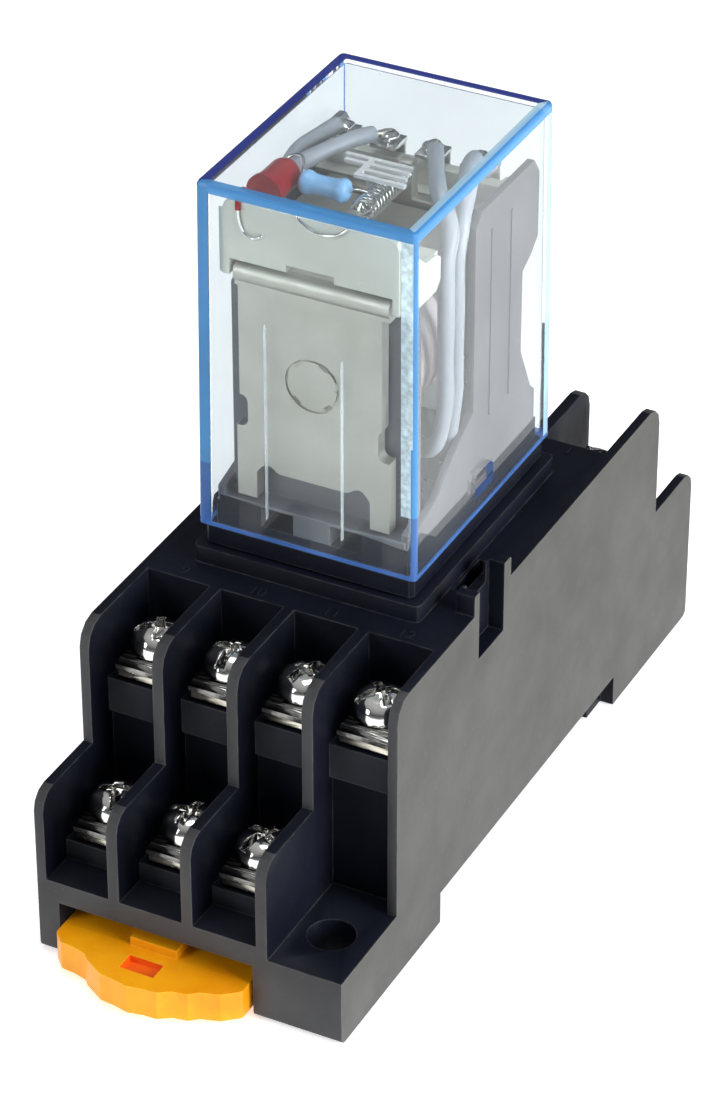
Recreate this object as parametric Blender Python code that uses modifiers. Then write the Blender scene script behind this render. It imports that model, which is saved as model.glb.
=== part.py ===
"""A 14-pin plug-in relay in its DIN-rail screw socket. Metres, +Z up, X across the socket and Y along it.
The origin is the middle of the face that lies on the rail."""

import math

import bmesh
import bpy
from mathutils import Matrix, Vector

MM = 0.001

# Socket: overall sizes and the levels of its steps, in millimetres above its underside.
SOCKET_W = 30.5
SOCKET_L = 75.4
SHOULDER_Y = 28.8  # where the upper tier's partitions end
BAY_WALL_Y = 27.0  # the outer wall ends earlier beside a mounting bay
DECK_Y = 18.1
DECK_Z = 29.7
LOWER_Z = 17.25
FLOOR_Z = 8.0
BAY_Z = 6.85
OUTER_WALL = 0.95
PITCH = 7.4
PARTITION = 1.1
UPPER_BLOCK_Z = 22.5
LOWER_BLOCK_Z = 10.0
UPPER_SCREW_Y = -21.8
LOWER_SCREW_Y = -30.1
CELL_X = (-1.5 * PITCH, -0.5 * PITCH, 0.5 * PITCH, 1.5 * PITCH)
HOLE_X, HOLE_Y, HOLE_R = 11.3, -31.9, 2.2
PLINTH_X, PLINTH_Y, PLINTH_Z = 11.3, 14.2, 31.4
CAVITY = (-12.9, 12.9, -16.0, 16.0, 5.2, 28.5)

# DIN-rail recess, 35 mm rail, and the spring-loaded clip.
RAIL_Z = 3.3
HOOK_Z = 1.9
RAIL_NEAR_Y = -18.1
HOOK_Y = 16.8
HOOK_UNDER_Y = 18.1
CLIP_X = (-12.7, 6.1)
CLIP_Z = (0.6, 3.6)
CLIP_SLOT_X = (-13.1, 6.5)
CLIP_SLOT_Z = 5.75

# Terminals.
SCREW_SIDES = 12
PLATE_W, PLATE_FRONT, PLATE_BACK, PLATE_T = 5.0, 3.8, 3.1, 0.75
PAD_T = 0.7
PAD_GAP = 0.2
THREAD_R = 1.5

# Relay, in its own frame: middle of the cover's bottom edge.
RELAY = Vector((0.0, -0.9, 33.75))
COVER_X, COVER_Y, COVER_Z = 10.8, 13.9, 34.55
COVER_DRAFT = 0.27
COVER_WALL = 0.85
BASE_UNDER = -2.1
COLUMNS = (-6.6, -2.2, 2.2, 6.6)
NC_Y, NO_Y, COM_Y, COIL_Y = 9.33, 4.9, -1.4, -7.2
BLADE_W, BLADE_T, BLADE_TIP = 2.4, 0.5, -8.5
CONTACT_Z = 9.0
COIL_Z = 16.3
YOKE_X = 7.5
HINGE = Vector((0.0, 2.75, 26.25))
LEAF_Y = (7.56, 7.86)
SPRING_X, SPRING_Z, SPRING_R, SPRING_WIRE = 1.2, 30.0, 0.95, 0.2


# ---------------------------------------------------------------- scene and helpers

def clear_scene():
    for obj in list(bpy.data.objects):
        bpy.data.objects.remove(obj)


def new_collection(name, hidden):
    made = bpy.data.collections.new(name)
    bpy.context.scene.collection.children.link(made)
    made.hide_render = hidden
    return made


def material(name, colour, metallic=0.0, roughness=0.5, alpha=1.0):
    made = bpy.data.materials.new(name)
    made.use_nodes = True
    shader = made.node_tree.nodes["Principled BSDF"]
    shader.inputs["Base Color"].default_value = (*colour, 1.0)
    shader.inputs["Metallic"].default_value = metallic
    shader.inputs["Roughness"].default_value = roughness
    shader.inputs["Alpha"].default_value = alpha
    return made


def finish(bm, name, group):
    """The bmesh, drawn in millimetres, as an object in metres."""
    bmesh.ops.recalc_face_normals(bm, faces=bm.faces)
    bmesh.ops.scale(bm, vec=(MM, MM, MM), verts=bm.verts)
    mesh = bpy.data.meshes.new(name)
    bm.to_mesh(mesh)
    bm.free()
    obj = bpy.data.objects.new(name, mesh)
    group.objects.link(obj)
    return obj


def add_box(bm, x0, x1, y0, y1, z0, z1):
    middle = Matrix.Translation(((x0 + x1) / 2, (y0 + y1) / 2, (z0 + z1) / 2))
    size = Matrix.Diagonal((x1 - x0, y1 - y0, z1 - z0, 1.0))
    bmesh.ops.create_cube(bm, size=1.0, matrix=middle @ size)


def on_axis(axis, u, v, along):
    """A point of an outline at a distance along its axis: x takes (y, z), y takes (x, z), z takes (x, y)."""
    if axis == "x":
        return (along, u, v)
    if axis == "y":
        return (u, along, v)
    return (u, v, along)


def add_prism(bm, outline, axis, start, stop):
    verts = [bm.verts.new(on_axis(axis, u, v, start)) for u, v in outline]
    face = bm.faces.new(verts)
    grown = bmesh.ops.extrude_face_region(bm, geom=[face], use_keep_orig=True)
    moved = [part for part in grown["geom"] if isinstance(part, bmesh.types.BMVert)]
    bmesh.ops.translate(bm, verts=moved, vec=on_axis(axis, 0, 0, stop - start))


def add_cylinder(bm, centre, radius, axis, start, stop, sides):
    outline = []
    for index in range(sides):
        angle = 2 * math.pi * (index + 0.5) / sides
        outline.append((centre[0] + radius * math.cos(angle), centre[1] + radius * math.sin(angle)))
    add_prism(bm, outline, axis, start, stop)


def fillet(outline, radii, steps=3):
    """The outline with the corners in radii, corner index to radius, turned into arcs."""
    result = []
    for index, corner in enumerate(outline):
        radius = radii.get(index)
        if radius is None:
            result.append(tuple(corner))
            continue
        here = Vector(corner)
        back = (Vector(outline[index - 1]) - here).normalized()
        ahead = (Vector(outline[(index + 1) % len(outline)]) - here).normalized()
        half = back.angle(ahead) / 2
        centre = here + (back + ahead).normalized() * (radius / math.sin(half))
        first = here + back * (radius / math.tan(half)) - centre
        last = here + ahead * (radius / math.tan(half)) - centre
        begin = math.atan2(first.y, first.x)
        sweep = math.atan2(last.y, last.x) - begin
        sweep = (sweep + math.pi) % (2 * math.pi) - math.pi
        for step in range(steps + 1):
            angle = begin + sweep * step / steps
            result.append((centre.x + radius * math.cos(angle), centre.y + radius * math.sin(angle)))
    return result


def rounded(u0, u1, v0, v1, radius, steps=3):
    corners = [(u0, v0), (u1, v0), (u1, v1), (u0, v1)]
    return fillet(corners, {index: radius for index in range(4)}, steps)


def boolean(obj, tool, operation):
    modifier = obj.modifiers.new(tool.name, "BOOLEAN")
    modifier.operation = operation
    modifier.solver = "EXACT"
    modifier.object = tool
    tool.display_type = "WIRE"
    tool.hide_render = True


def bake(obj, *tools):
    """The object's mesh with its modifiers applied, and the tools that shaped it removed."""
    graph = bpy.context.evaluated_depsgraph_get()
    obj.data = bpy.data.meshes.new_from_object(obj.evaluated_get(graph))
    obj.modifiers.clear()
    for tool in tools:
        bpy.data.objects.remove(tool)


def joined(obj, tool_mesh_builders, operation):
    """Applies one Boolean for each builder, a function that fills a bmesh, and keeps no tool."""
    for index, build in enumerate(tool_mesh_builders):
        bm = bmesh.new()
        build(bm)
        tool = finish(bm, f"tool_{index}", CUTTERS)
        boolean(obj, tool, operation)
        bake(obj, tool)


def set_origin(obj, point):
    """Moves the origin to a point in millimetres and leaves the shape where it is."""
    place = Vector(point) * MM
    obj.data.transform(Matrix.Translation(obj.location - place))
    obj.location = place


def dress(obj, look, smooth=False):
    obj.data.materials.clear()
    obj.data.materials.append(look)
    if smooth:
        obj.data.shade_smooth()
        obj.data.set_sharp_from_angle(angle=math.radians(35))


def lathe(name, profile, group, sides):
    """A profile of (radius, height) turned round Z with a Screw modifier, listed from the top down."""
    bm = bmesh.new()
    verts = [bm.verts.new((radius, 0, height)) for radius, height in profile]
    for first, second in zip(verts, verts[1:]):
        bm.edges.new((first, second))
    obj = finish(bm, name, group)
    screw = obj.modifiers.new("turn", "SCREW")
    screw.axis = "Z"
    screw.steps = sides
    screw.render_steps = sides
    screw.use_merge_vertices = True
    screw.merge_threshold = 0.00001
    screw.use_smooth_shade = False
    bake(obj)
    outwards(obj)
    return obj


def outwards(obj):
    """Faces of a closed mesh turned out, and doubled vertices made one."""
    bm = bmesh.new()
    bm.from_mesh(obj.data)
    bmesh.ops.remove_doubles(bm, verts=bm.verts, dist=0.000001)
    bmesh.ops.recalc_face_normals(bm, faces=bm.faces)
    bm.to_mesh(obj.data)
    bm.free()


def tube(name, points, radius, group, sides=6):
    """A round tube along points in millimetres, from a bevelled curve with filled caps."""
    curve = bpy.data.curves.new(name, "CURVE")
    curve.dimensions = "3D"
    curve.bevel_depth = radius * MM
    curve.bevel_resolution = (sides - 4) // 2
    curve.use_fill_caps = True
    spline = curve.splines.new("POLY")
    spline.points.add(len(points) - 1)
    for knot, point in zip(spline.points, points):
        knot.co = (*(Vector(point) * MM), 1.0)
    drawn = bpy.data.objects.new(name, curve)
    group.objects.link(drawn)
    graph = bpy.context.evaluated_depsgraph_get()
    mesh = bpy.data.meshes.new_from_object(drawn.evaluated_get(graph))
    bpy.data.objects.remove(drawn)
    obj = bpy.data.objects.new(name, mesh)
    group.objects.link(obj)
    outwards(obj)
    return obj


def turned_half_way(obj):
    """The same shape seen from the socket's other end: turned by 180 degrees about Z."""
    obj.data.transform(Matrix.Rotation(math.pi, 4, "Z"))


# ---------------------------------------------------------------- socket housing

def wall_outline():
    end = SOCKET_L / 2
    points = [
        (-end, 0), (-end, LOWER_Z), (-SHOULDER_Y, LOWER_Z), (-SHOULDER_Y, DECK_Z),
        (SHOULDER_Y, DECK_Z), (SHOULDER_Y, LOWER_Z), (end, LOWER_Z), (end, 0),
    ]
    return fillet(points, {0: 0.7, 1: 1.9, 3: 2.3, 4: 2.3, 6: 1.9, 7: 0.7})


def cell_outline(floor):
    """The open space of one terminal cell, from above the screws out past the end of the socket."""
    lower = [(-45, floor), (-34.0, floor), (-34.0, LOWER_BLOCK_Z), (-25.2, LOWER_BLOCK_Z)]
    if floor == BAY_Z:
        lower = [(-45, floor), (-25.2, floor)]
    upper = [
        (-25.2, 18.9), (-25.7, 18.9), (-25.7, UPPER_BLOCK_Z), (-DECK_Y, UPPER_BLOCK_Z),
        (-DECK_Y, 36), (-45, 36),
    ]
    return lower + upper


def near_cells(bm):
    half = (PITCH - PARTITION) / 2
    for index, middle in enumerate(CELL_X):
        floor = BAY_Z if index == 3 else FLOOR_Z
        left = -SOCKET_W / 2 + OUTER_WALL if index == 0 else middle - half
        right = SOCKET_W / 2 - OUTER_WALL if index == 3 else middle + half
        add_prism(bm, cell_outline(floor), "x", left, right)


def bay_wall(bm):
    outline = [(-45, BAY_Z), (-BAY_WALL_Y, BAY_Z), (-BAY_WALL_Y, DECK_Z)]
    outline += [(-20, DECK_Z), (-20, 36), (-45, 36)]
    add_prism(bm, fillet(outline, {2: 2.2}), "x", SOCKET_W / 2 - OUTER_WALL - 0.3, SOCKET_W / 2 + 1)


def near_bores(bm):
    """Clearance under each screw, the passages of the contact strips and the mounting hole."""
    for middle in CELL_X:
        add_cylinder(bm, (middle, UPPER_SCREW_Y), 2.0, "z", UPPER_BLOCK_Z - 3.9, UPPER_BLOCK_Z + 1, 10)
        z0, z1 = UPPER_BLOCK_Z - 0.4, UPPER_BLOCK_Z + 1.3
        add_box(bm, middle - 1.4, middle + 1.4, -DECK_Y - 0.5, -15.8, z0, z1)
    for middle in CELL_X[:3]:
        add_cylinder(bm, (middle, LOWER_SCREW_Y), 2.0, "z", LOWER_BLOCK_Z - 3.6, LOWER_BLOCK_Z + 1, 10)
        add_box(bm, middle - 1.4, middle + 1.4, -25.7, -15.8, LOWER_BLOCK_Z - 0.4, LOWER_BLOCK_Z + 1.3)
    add_cylinder(bm, (HOLE_X, HOLE_Y), HOLE_R, "z", -1, 9, 24)


def plinth(bm):
    outline = rounded(-PLINTH_X, PLINTH_X, RELAY.y - PLINTH_Y, RELAY.y + PLINTH_Y, 0.6, 2)
    add_prism(bm, outline, "z", DECK_Z - 1.2, PLINTH_Z)


def clip_posts(bm):
    """Two posts on each side wall that take the ends of a hold-down clip, turned half way round on the left."""
    for side in (-1, 1):
        for y0, y1 in ((-11.9, -10.3), (-6.4, -4.4)):
            first, last = sorted((side * y0, side * y1))
            outline = rounded(first, last, DECK_Z - 2, 31.8, 0.3, 2)
            inner, outer = sorted((side * 13.4, side * SOCKET_W / 2))
            add_prism(bm, outline, "x", inner, outer)


def clip_notches(bm):
    for side in (-1, 1):
        inner, outer = sorted((side * 13.7, side * 16.5))
        first, last = sorted((side * -10.9, side * -5.8))
        add_box(bm, inner, outer, first, last, 24.6, 36)


def deck_slots(bm):
    for side in (-1, 1):
        inner, outer = sorted((side * 11.6, side * 12.7))
        first, last = sorted((side * -8.8, side * -3.4))
        add_box(bm, inner, outer, first, last, 27.0, 33)


def blade_slots(bm):
    for x, y in blade_places():
        add_box(bm, x - 1.6, x + 1.6, y + RELAY.y - 0.65, y + RELAY.y + 0.65, 27.5, 33)


def blade_places():
    places = [(x, y) for y in (NC_Y, NO_Y, COM_Y) for x in COLUMNS]
    return places + [(COLUMNS[0], COIL_Y), (COLUMNS[3], COIL_Y)]


def cavity(bm):
    add_box(bm, *CAVITY)


def base_rebate(bm):
    add_box(bm, -13.4, 13.4, -16.6, 16.6, 1.0, 5.6)


def rail_recess(bm):
    outline = [
        (RAIL_NEAR_Y, -1), (HOOK_Y, -1), (HOOK_Y, HOOK_Z), (HOOK_UNDER_Y, HOOK_Z + 0.3),
        (HOOK_UNDER_Y, RAIL_Z), (RAIL_NEAR_Y, RAIL_Z),
    ]
    add_prism(bm, outline, "x", -17, 17)


def rail_recess_sides(bm):
    add_box(bm, -17, -13.9, 10, 20.0, -1, RAIL_Z)
    add_box(bm, 13.9, 17, 10, 20.0, -1, RAIL_Z)


def clip_slot(bm):
    add_box(bm, *CLIP_SLOT_X, -40, -17.5, -1, CLIP_SLOT_Z)


def clip_grooves(bm):
    add_box(bm, CLIP_SLOT_X[0] - 1.0, CLIP_SLOT_X[1] + 1.0, -36.2, -17.6, 1.3, 2.9)


def far_pocket(bm):
    add_box(bm, -6.0, 13.0, 21.5, 36.2, -1, 5.8)


def turned(build):
    def build_turned(bm):
        build(bm)
        bmesh.ops.rotate(bm, cent=(0, 0, 0), matrix=Matrix.Rotation(math.pi, 3, "Z"), verts=bm.verts)
    return build_turned


def make_housing():
    bm = bmesh.new()
    add_prism(bm, wall_outline(), "x", -SOCKET_W / 2, SOCKET_W / 2)
    housing = finish(bm, "socket_housing", PARTS)
    steps = [
        ("near_cells", near_cells, "DIFFERENCE"), ("far_cells", turned(near_cells), "DIFFERENCE"),
        ("near_bay_wall", bay_wall, "DIFFERENCE"), ("far_bay_wall", turned(bay_wall), "DIFFERENCE"),
        ("plinth", plinth, "UNION"), ("clip_posts", clip_posts, "UNION"),
        ("clip_notches", clip_notches, "DIFFERENCE"), ("cavity", cavity, "DIFFERENCE"),
        ("base_rebate", base_rebate, "DIFFERENCE"), ("rail_recess", rail_recess, "DIFFERENCE"),
        ("rail_recess_sides", rail_recess_sides, "DIFFERENCE"), ("clip_slot", clip_slot, "DIFFERENCE"),
        ("clip_grooves", clip_grooves, "DIFFERENCE"), ("far_pocket", far_pocket, "DIFFERENCE"),
        ("near_bores", near_bores, "DIFFERENCE"), ("far_bores", turned(near_bores), "DIFFERENCE"),
        ("deck_slots", deck_slots, "DIFFERENCE"), ("blade_slots", blade_slots, "DIFFERENCE"),
    ]
    for name, build, operation in steps:
        bm = bmesh.new()
        build(bm)
        boolean(housing, finish(bm, f"cutter_{name}", CUTTERS), operation)
    dress(housing, BLACK)


def make_base_plate():
    """The insulating plate that closes the socket underneath, between the rail and the contacts."""
    bm = bmesh.new()
    add_prism(bm, rounded(-13.1, 13.1, -16.3, 16.3, 0.5, 1), "z", RAIL_Z, RAIL_Z + 2.0)
    plate = finish(bm, "socket_base", PARTS)
    joined(plate, [base_ribs], "UNION")
    dress(plate, BLACK)


def base_ribs(bm):
    for x in (-9.0, 0.0, 9.0):
        add_box(bm, x - 0.6, x + 0.6, -15.0, 15.0, RAIL_Z + 1.0, RAIL_Z + 4.2)


def clip_outline():
    """The clip from above: a scalloped thumb edge outside, a straight plate inside."""
    left, right = CLIP_X
    return [
        (left, -18.4), (left, -39.0), (-11.6, -40.1), (-8.9, -40.5), (-8.3, -41.2), (-6.3, -42.4),
        (-3.4, -42.9), (-0.6, -42.5), (0.6, -41.6), (2.0, -41.4), (2.8, -40.7), (4.6, -40.2),
        (right, -38.9), (right, -18.4),
    ]


def make_rail_clip():
    bm = bmesh.new()
    add_prism(bm, clip_outline(), "z", *CLIP_Z)
    clip = finish(bm, "rail_clip", PARTS)
    joined(clip, [clip_nose, clip_tongues, clip_tongue_top], "UNION")
    joined(clip, [clip_window, clip_pocket], "DIFFERENCE")
    set_origin(clip, (-3.3, -30.0, CLIP_Z[0]))
    dress(clip, ORANGE)


def clip_nose(bm):
    outline = [(-19.0, CLIP_Z[0]), (-16.4, CLIP_Z[0]), (-16.4, 1.3), (-17.1, 1.9), (-19.0, 1.9)]
    add_prism(bm, outline, "x", -11.0, 4.4)


def clip_tongues(bm):
    add_box(bm, CLIP_X[0] - 0.9, CLIP_X[0] + 0.5, -32.0, -19.5, 1.6, 2.6)
    add_box(bm, CLIP_X[1] - 0.5, CLIP_X[1] + 0.9, -32.0, -19.5, 1.6, 2.6)


def clip_tongue_top(bm):
    outline = fillet([(-37.6, 3.2), (-26.0, 3.2), (-26.0, 4.8), (-37.6, 4.8)], {3: 0.5}, 2)
    add_prism(bm, outline, "x", -5.9, -1.2)


def clip_window(bm):
    add_box(bm, -10.2, -6.9, -34.0, -21.5, 0, 4)
    add_box(bm, 0.3, 3.6, -34.0, -21.5, 0, 4)


def clip_pocket(bm):
    add_box(bm, -5.4, -1.6, -41.0, -38.9, 1.6, 4)


# ---------------------------------------------------------------- terminals

def screw_mesh():
    """One captive screw with its clamp plate, origin on the screw's axis at the plate's underside."""
    profile = [
        (0, 3.2), (1.6, 3.1), (2.4, 2.7), (2.75, 2.0), (2.75, 0.5), (THREAD_R, 0.5),
        (THREAD_R, -3.4), (1.2, -3.7), (0, -3.7),
    ]
    screw = lathe("screw_model", profile, CUTTERS, SCREW_SIDES)
    joined(screw, [clamp_plate], "UNION")
    joined(screw, [cross_recess], "DIFFERENCE")
    mesh = screw.data
    bpy.data.objects.remove(screw)
    return mesh


def clamp_plate(bm):
    half_w = PLATE_W / 2
    add_prism(bm, rounded(-half_w, half_w, -PLATE_FRONT, PLATE_BACK, 0.3, 1), "z", 0, PLATE_T)


def cross_recess(bm):
    arm, reach = 0.3, 1.7
    outline = [
        (arm, arm), (arm, reach), (-arm, reach), (-arm, arm), (-reach, arm), (-reach, -arm),
        (-arm, -arm), (-arm, -reach), (arm, -reach), (arm, -arm), (reach, -arm), (reach, arm),
    ]
    add_prism(bm, outline, "z", 2.0, 5.0)


def terminals():
    """Each terminal as seen from its own end: number, cell x, screw y, block top, whether it is at the far
    end, column x, row y and the y where its strip turns."""
    near, far = False, True
    com_row, nc_row = COM_Y + RELAY.y, -(NC_Y + RELAY.y)
    coil_row, no_row = COIL_Y + RELAY.y, NO_Y + RELAY.y
    upper = (UPPER_SCREW_Y, UPPER_BLOCK_Z)
    lower = (LOWER_SCREW_Y, LOWER_BLOCK_Z)
    rows = []
    for index, x in enumerate(CELL_X):
        rows.append((x, *upper, near, COLUMNS[index], com_row, com_row - 1.0))
    rows.append((CELL_X[0], *lower, near, COLUMNS[0], coil_row, -12.0))
    rows.append((CELL_X[1], *lower, near, COLUMNS[1], no_row, -12.0))
    rows.append((CELL_X[2], *lower, near, COLUMNS[3], coil_row, -12.0))
    for index, x in enumerate(CELL_X):
        rows.append((x, *upper, far, COLUMNS[index], nc_row, -12.0))
    rows.append((CELL_X[0], *lower, far, COLUMNS[0], -no_row, -12.0))
    rows.append((CELL_X[1], *lower, far, COLUMNS[1], -no_row, -12.0))
    rows.append((CELL_X[2], *lower, far, COLUMNS[3], -no_row, -12.0))
    return [(number, *row) for number, row in enumerate(rows, 1)]


def strip_outline(cell_x, screw_y, column_x, row_y, turn_y):
    """Seen from above: the pad under the screw and the strip that jogs across to its column."""
    way = 1 if column_x > cell_x else -1
    shift = abs(column_x - cell_x)
    near_pad, far_pad = screw_y - 3.5, screw_y + 2.8
    points = [
        (-2.4, near_pad), (2.4, near_pad), (2.4, far_pad), (1.0, far_pad), (1.0, turn_y - 1.0),
        (shift + 1.0, turn_y - 1.0), (shift + 1.0, row_y + 1.0), (shift - 1.0, row_y + 1.0),
        (shift - 1.0, turn_y + 1.0), (-1.0, turn_y + 1.0), (-1.0, far_pad), (-2.4, far_pad),
    ]
    if abs(turn_y + 1.0 - (row_y + 1.0)) < 0.01:
        points = points[:7] + points[9:]
    if row_y - turn_y < 1.5:
        points = points[:6] + [(shift + 1.0, row_y + 1.0), (-1.0, row_y + 1.0)] + points[-2:]
    return [(cell_x + way * u, v) for u, v in points]


def female_outline(row_y, pad_z, strip_z):
    """The jaw that grips a blade, seen from the side, with a riser when its strip runs low."""
    top = 28.2
    jaw = [
        (0.85, strip_z), (0.85, top), (0.45, top), (0.45, strip_z + 0.7), (-0.45, strip_z + 0.7),
        (-0.45, top), (-0.85, top),
    ]
    if pad_z == strip_z:
        return [(row_y + u, v) for u, v in jaw + [(-0.85, strip_z)]]
    return [(row_y + u, v) for u, v in jaw + [(-0.85, pad_z), (-0.15, pad_z), (-0.15, strip_z)]]


def make_contact(number, cell_x, screw_y, block_z, far, column_x, row_y, turn_y):
    pad_z = block_z + PAD_GAP
    strip_z = pad_z if block_z == UPPER_BLOCK_Z else 22.0
    bm = bmesh.new()
    add_prism(bm, strip_outline(cell_x, screw_y, column_x, row_y, turn_y), "z", pad_z, pad_z + PAD_T)
    contact = finish(bm, f"socket_contact_{number:02d}", PARTS)

    def jaw(tool):
        add_prism(tool, female_outline(row_y, pad_z, strip_z), "x", column_x - 1.2, column_x + 1.2)

    def hole(tool):
        add_cylinder(tool, (cell_x, screw_y), 1.75, "z", pad_z - 1, pad_z + 2, 8)

    joined(contact, [jaw], "UNION")
    joined(contact, [hole], "DIFFERENCE")
    if far:
        turned_half_way(contact)
    dress(contact, BRASS)


def make_terminals():
    model = screw_mesh()
    for number, cell_x, screw_y, block_z, far, column_x, row_y, turn_y in terminals():
        screw = bpy.data.objects.new(f"terminal_screw_{number:02d}", model.copy())
        PARTS.objects.link(screw)
        side = -1 if far else 1
        screw.location = Vector((side * cell_x, side * screw_y, block_z + PAD_GAP + PAD_T + 0.25)) * MM
        if far:
            turned_half_way(screw)
        dress(screw, NICKEL, smooth=True)
        make_contact(number, cell_x, screw_y, block_z, far, column_x, row_y, turn_y)


# ---------------------------------------------------------------- relay: cover and base

def tapered_box(bm, x, y, z0, z1, draft):
    """A box about the Z axis whose top is smaller all round by the draft."""
    verts = []
    for z, inset in ((z0, 0.0), (z1, draft)):
        for sx, sy in ((-1, -1), (1, -1), (1, 1), (-1, 1)):
            verts.append(bm.verts.new((sx * (x - inset), sy * (y - inset), z)))
    bm.faces.new(verts[:4])
    bm.faces.new(verts[4:])
    for index in range(4):
        after = (index + 1) % 4
        bm.faces.new((verts[index], verts[after], verts[after + 4], verts[index + 4]))


def cover_windows(bm):
    for side in (-1, 1):
        inner, outer = sorted((side * (COVER_X - 1.6), side * (COVER_X + 1)))
        window = [(-1.9, 1.7), (1.9, 1.7), (1.9, 4.1), (-1.9, 4.1)]
        add_prism(bm, fillet(window, {2: 0.7, 3: 0.7}, 2), "x", inner, outer)


def cover_hollow(bm):
    tapered_box(bm, COVER_X - COVER_WALL, COVER_Y - COVER_WALL, -0.0, COVER_Z - COVER_WALL, COVER_DRAFT)
    bmesh.ops.translate(bm, verts=[v for v in bm.verts if v.co.z < 1.0], vec=(0, 0, -1.0))


def make_cover():
    bm = bmesh.new()
    tapered_box(bm, COVER_X, COVER_Y, 0, COVER_Z, COVER_DRAFT)
    cover = finish(bm, "relay_cover", PARTS)
    bevel = cover.modifiers.new("soft_edges", "BEVEL")
    bevel.width = 0.35 * MM
    bevel.segments = 2
    bevel.limit_method = "ANGLE"
    bake(cover)
    joined(cover, [cover_hollow, cover_windows], "DIFFERENCE")
    to_relay(cover)
    dress(cover, CLEAR)


def to_relay(obj, origin=None):
    """Moves a shape drawn in the relay's frame to its place, and its origin to a point of that frame."""
    obj.data.transform(Matrix.Translation(RELAY * MM))
    set_origin(obj, RELAY + Vector(origin or (0, 0, 0)))


def base_flange(bm):
    add_prism(bm, rounded(-10.4, 10.4, -13.5, 13.5, 0.4, 1), "z", BASE_UNDER, -0.3)


def front_wall(bm):
    outline = fillet([(-8.8, 1.5), (8.8, 1.5), (8.8, 25.3), (-8.8, 25.3)], {2: 1.6, 3: 1.6}, 2)
    add_prism(bm, outline, "y", -10.5, -9.8)


def front_sill(bm):
    add_box(bm, -9.2, 9.2, -12.6, -10.0, 2.0, 2.9)


def side_walls(bm):
    outline = [
        (-12.4, 1.5), (12.3, 1.5), (12.3, 5.5), (11.4, 6.3), (9.2, 11.0), (9.2, 19.3), (11.0, 20.3),
        (12.3, 21.5), (12.3, 28.0), (11.2, 29.6), (0.6, 29.6), (-0.6, 28.4), (-0.6, 10.0), (-4.6, 7.6),
        (-8.0, 4.8), (-12.4, 3.6),
    ]
    add_prism(bm, outline, "x", -9.45, -8.75)
    add_prism(bm, outline, "x", 8.75, 9.45)


def contact_partitions(bm):
    for x in (-4.4, 0.0, 4.4):
        web = [(4.4, 1.5), (11.6, 1.5), (11.6, 12.0), (4.4, 12.0)]
        add_prism(bm, fillet(web, {2: 1.5}, 2), "x", x - 0.4, x + 0.4)


def snap_lugs(bm):
    for side in (-1, 1):
        outline = [(side * 9.1, 1.9), (side * 10.3, 2.0), (side * 10.3, 2.7), (side * 9.1, 3.7)]
        add_prism(bm, outline, "y", -1.5, 1.5)


def core_opening(bm):
    add_cylinder(bm, (0, COIL_Z), 3.1, "y", -12, -8, 12)


def base_blade_slots(bm):
    for x, y in blade_places():
        add_box(bm, x - 1.45, x + 1.45, y - 0.5, y + 0.5, -4, 4)


def coil_windows(bm):
    """Openings low in the front wall, where the coil's leads pass."""
    for x in (-3.4, 3.4):
        add_box(bm, x - 1.6, x + 1.6, -14, -8.8, 0.6, 2.6)


def make_base():
    bm = bmesh.new()
    add_box(bm, -9.5, 9.5, -12.6, 12.6, -0.8, 2.3)
    base = finish(bm, "relay_base", PARTS)
    joined(base, [base_flange, front_wall, front_sill, side_walls, contact_partitions, snap_lugs], "UNION")
    joined(base, [core_opening, base_blade_slots, coil_windows], "DIFFERENCE")
    to_relay(base)
    dress(base, GREY)


def make_indicator_plate():
    """The cream insulating plate above the yoke that carries the indicator."""
    front = [
        (-8.5, 25.6), (-7.85, 25.6), (-7.85, 27.2), (-2.3, 27.2), (-2.3, 27.9), (2.3, 27.9), (2.3, 27.2),
        (7.85, 27.2), (7.85, 25.6), (8.5, 25.6), (8.5, 32.9), (-8.5, 32.9),
    ]
    bm = bmesh.new()
    add_prism(bm, fillet(front, {10: 0.9, 11: 0.9}, 2), "y", -12.5, -11.7)
    plate = finish(bm, "indicator_plate", PARTS)
    joined(plate, [plate_wings, plate_shelf], "UNION")
    to_relay(plate)
    dress(plate, CREAM)


def plate_wings(bm):
    outline = [(-12.3, 25.6), (-7.2, 25.6), (-6.4, 26.4), (-6.4, 28.6)]
    outline += [(-7.2, 29.1), (-9.2, 29.3), (-12.3, 32.0)]
    add_prism(bm, outline, "x", -8.9, -8.2)
    add_prism(bm, outline, "x", 8.2, 8.9)


def plate_shelf(bm):
    add_box(bm, -8.5, -3.6, -12.0, -6.2, 28.2, 29.0)
    add_box(bm, 3.9, 8.5, -12.0, -6.2, 28.2, 29.0)


# ---------------------------------------------------------------- relay: magnet system

def yoke_outline():
    points = [(-12.2, 3.2), (-12.2, 26.9), (2.45, 26.9), (2.45, 25.6), (-10.9, 25.6), (-10.9, 3.2)]
    return fillet(points, {1: 1.5, 4: 0.4}, 4)


def yoke_trims(bm):
    """The arch between the legs and a notch in each side."""
    arch = [(-5.6, 2.0), (5.6, 2.0), (5.6, 6.6), (4.4, 7.1)]
    arch += [(3.6, 6.3), (-3.6, 6.3), (-4.4, 7.1), (-5.6, 6.6)]
    add_prism(bm, arch, "y", -14, -10)
    for side in (-1, 1):
        notch = [(side * 8.5, 10.4), (side * 6.4, 10.4), (side * 6.4, 13.6), (side * 8.5, 13.6)]
        add_prism(bm, fillet(notch, {1: 0.6, 2: 0.6}, 2), "y", -14, -10)


def spring_post(bm):
    add_prism(bm, rounded(SPRING_X - 0.7, SPRING_X + 0.7, 26.4, SPRING_Z + 0.7, 0.4, 2), "y", -7.1, -6.4)


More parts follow.
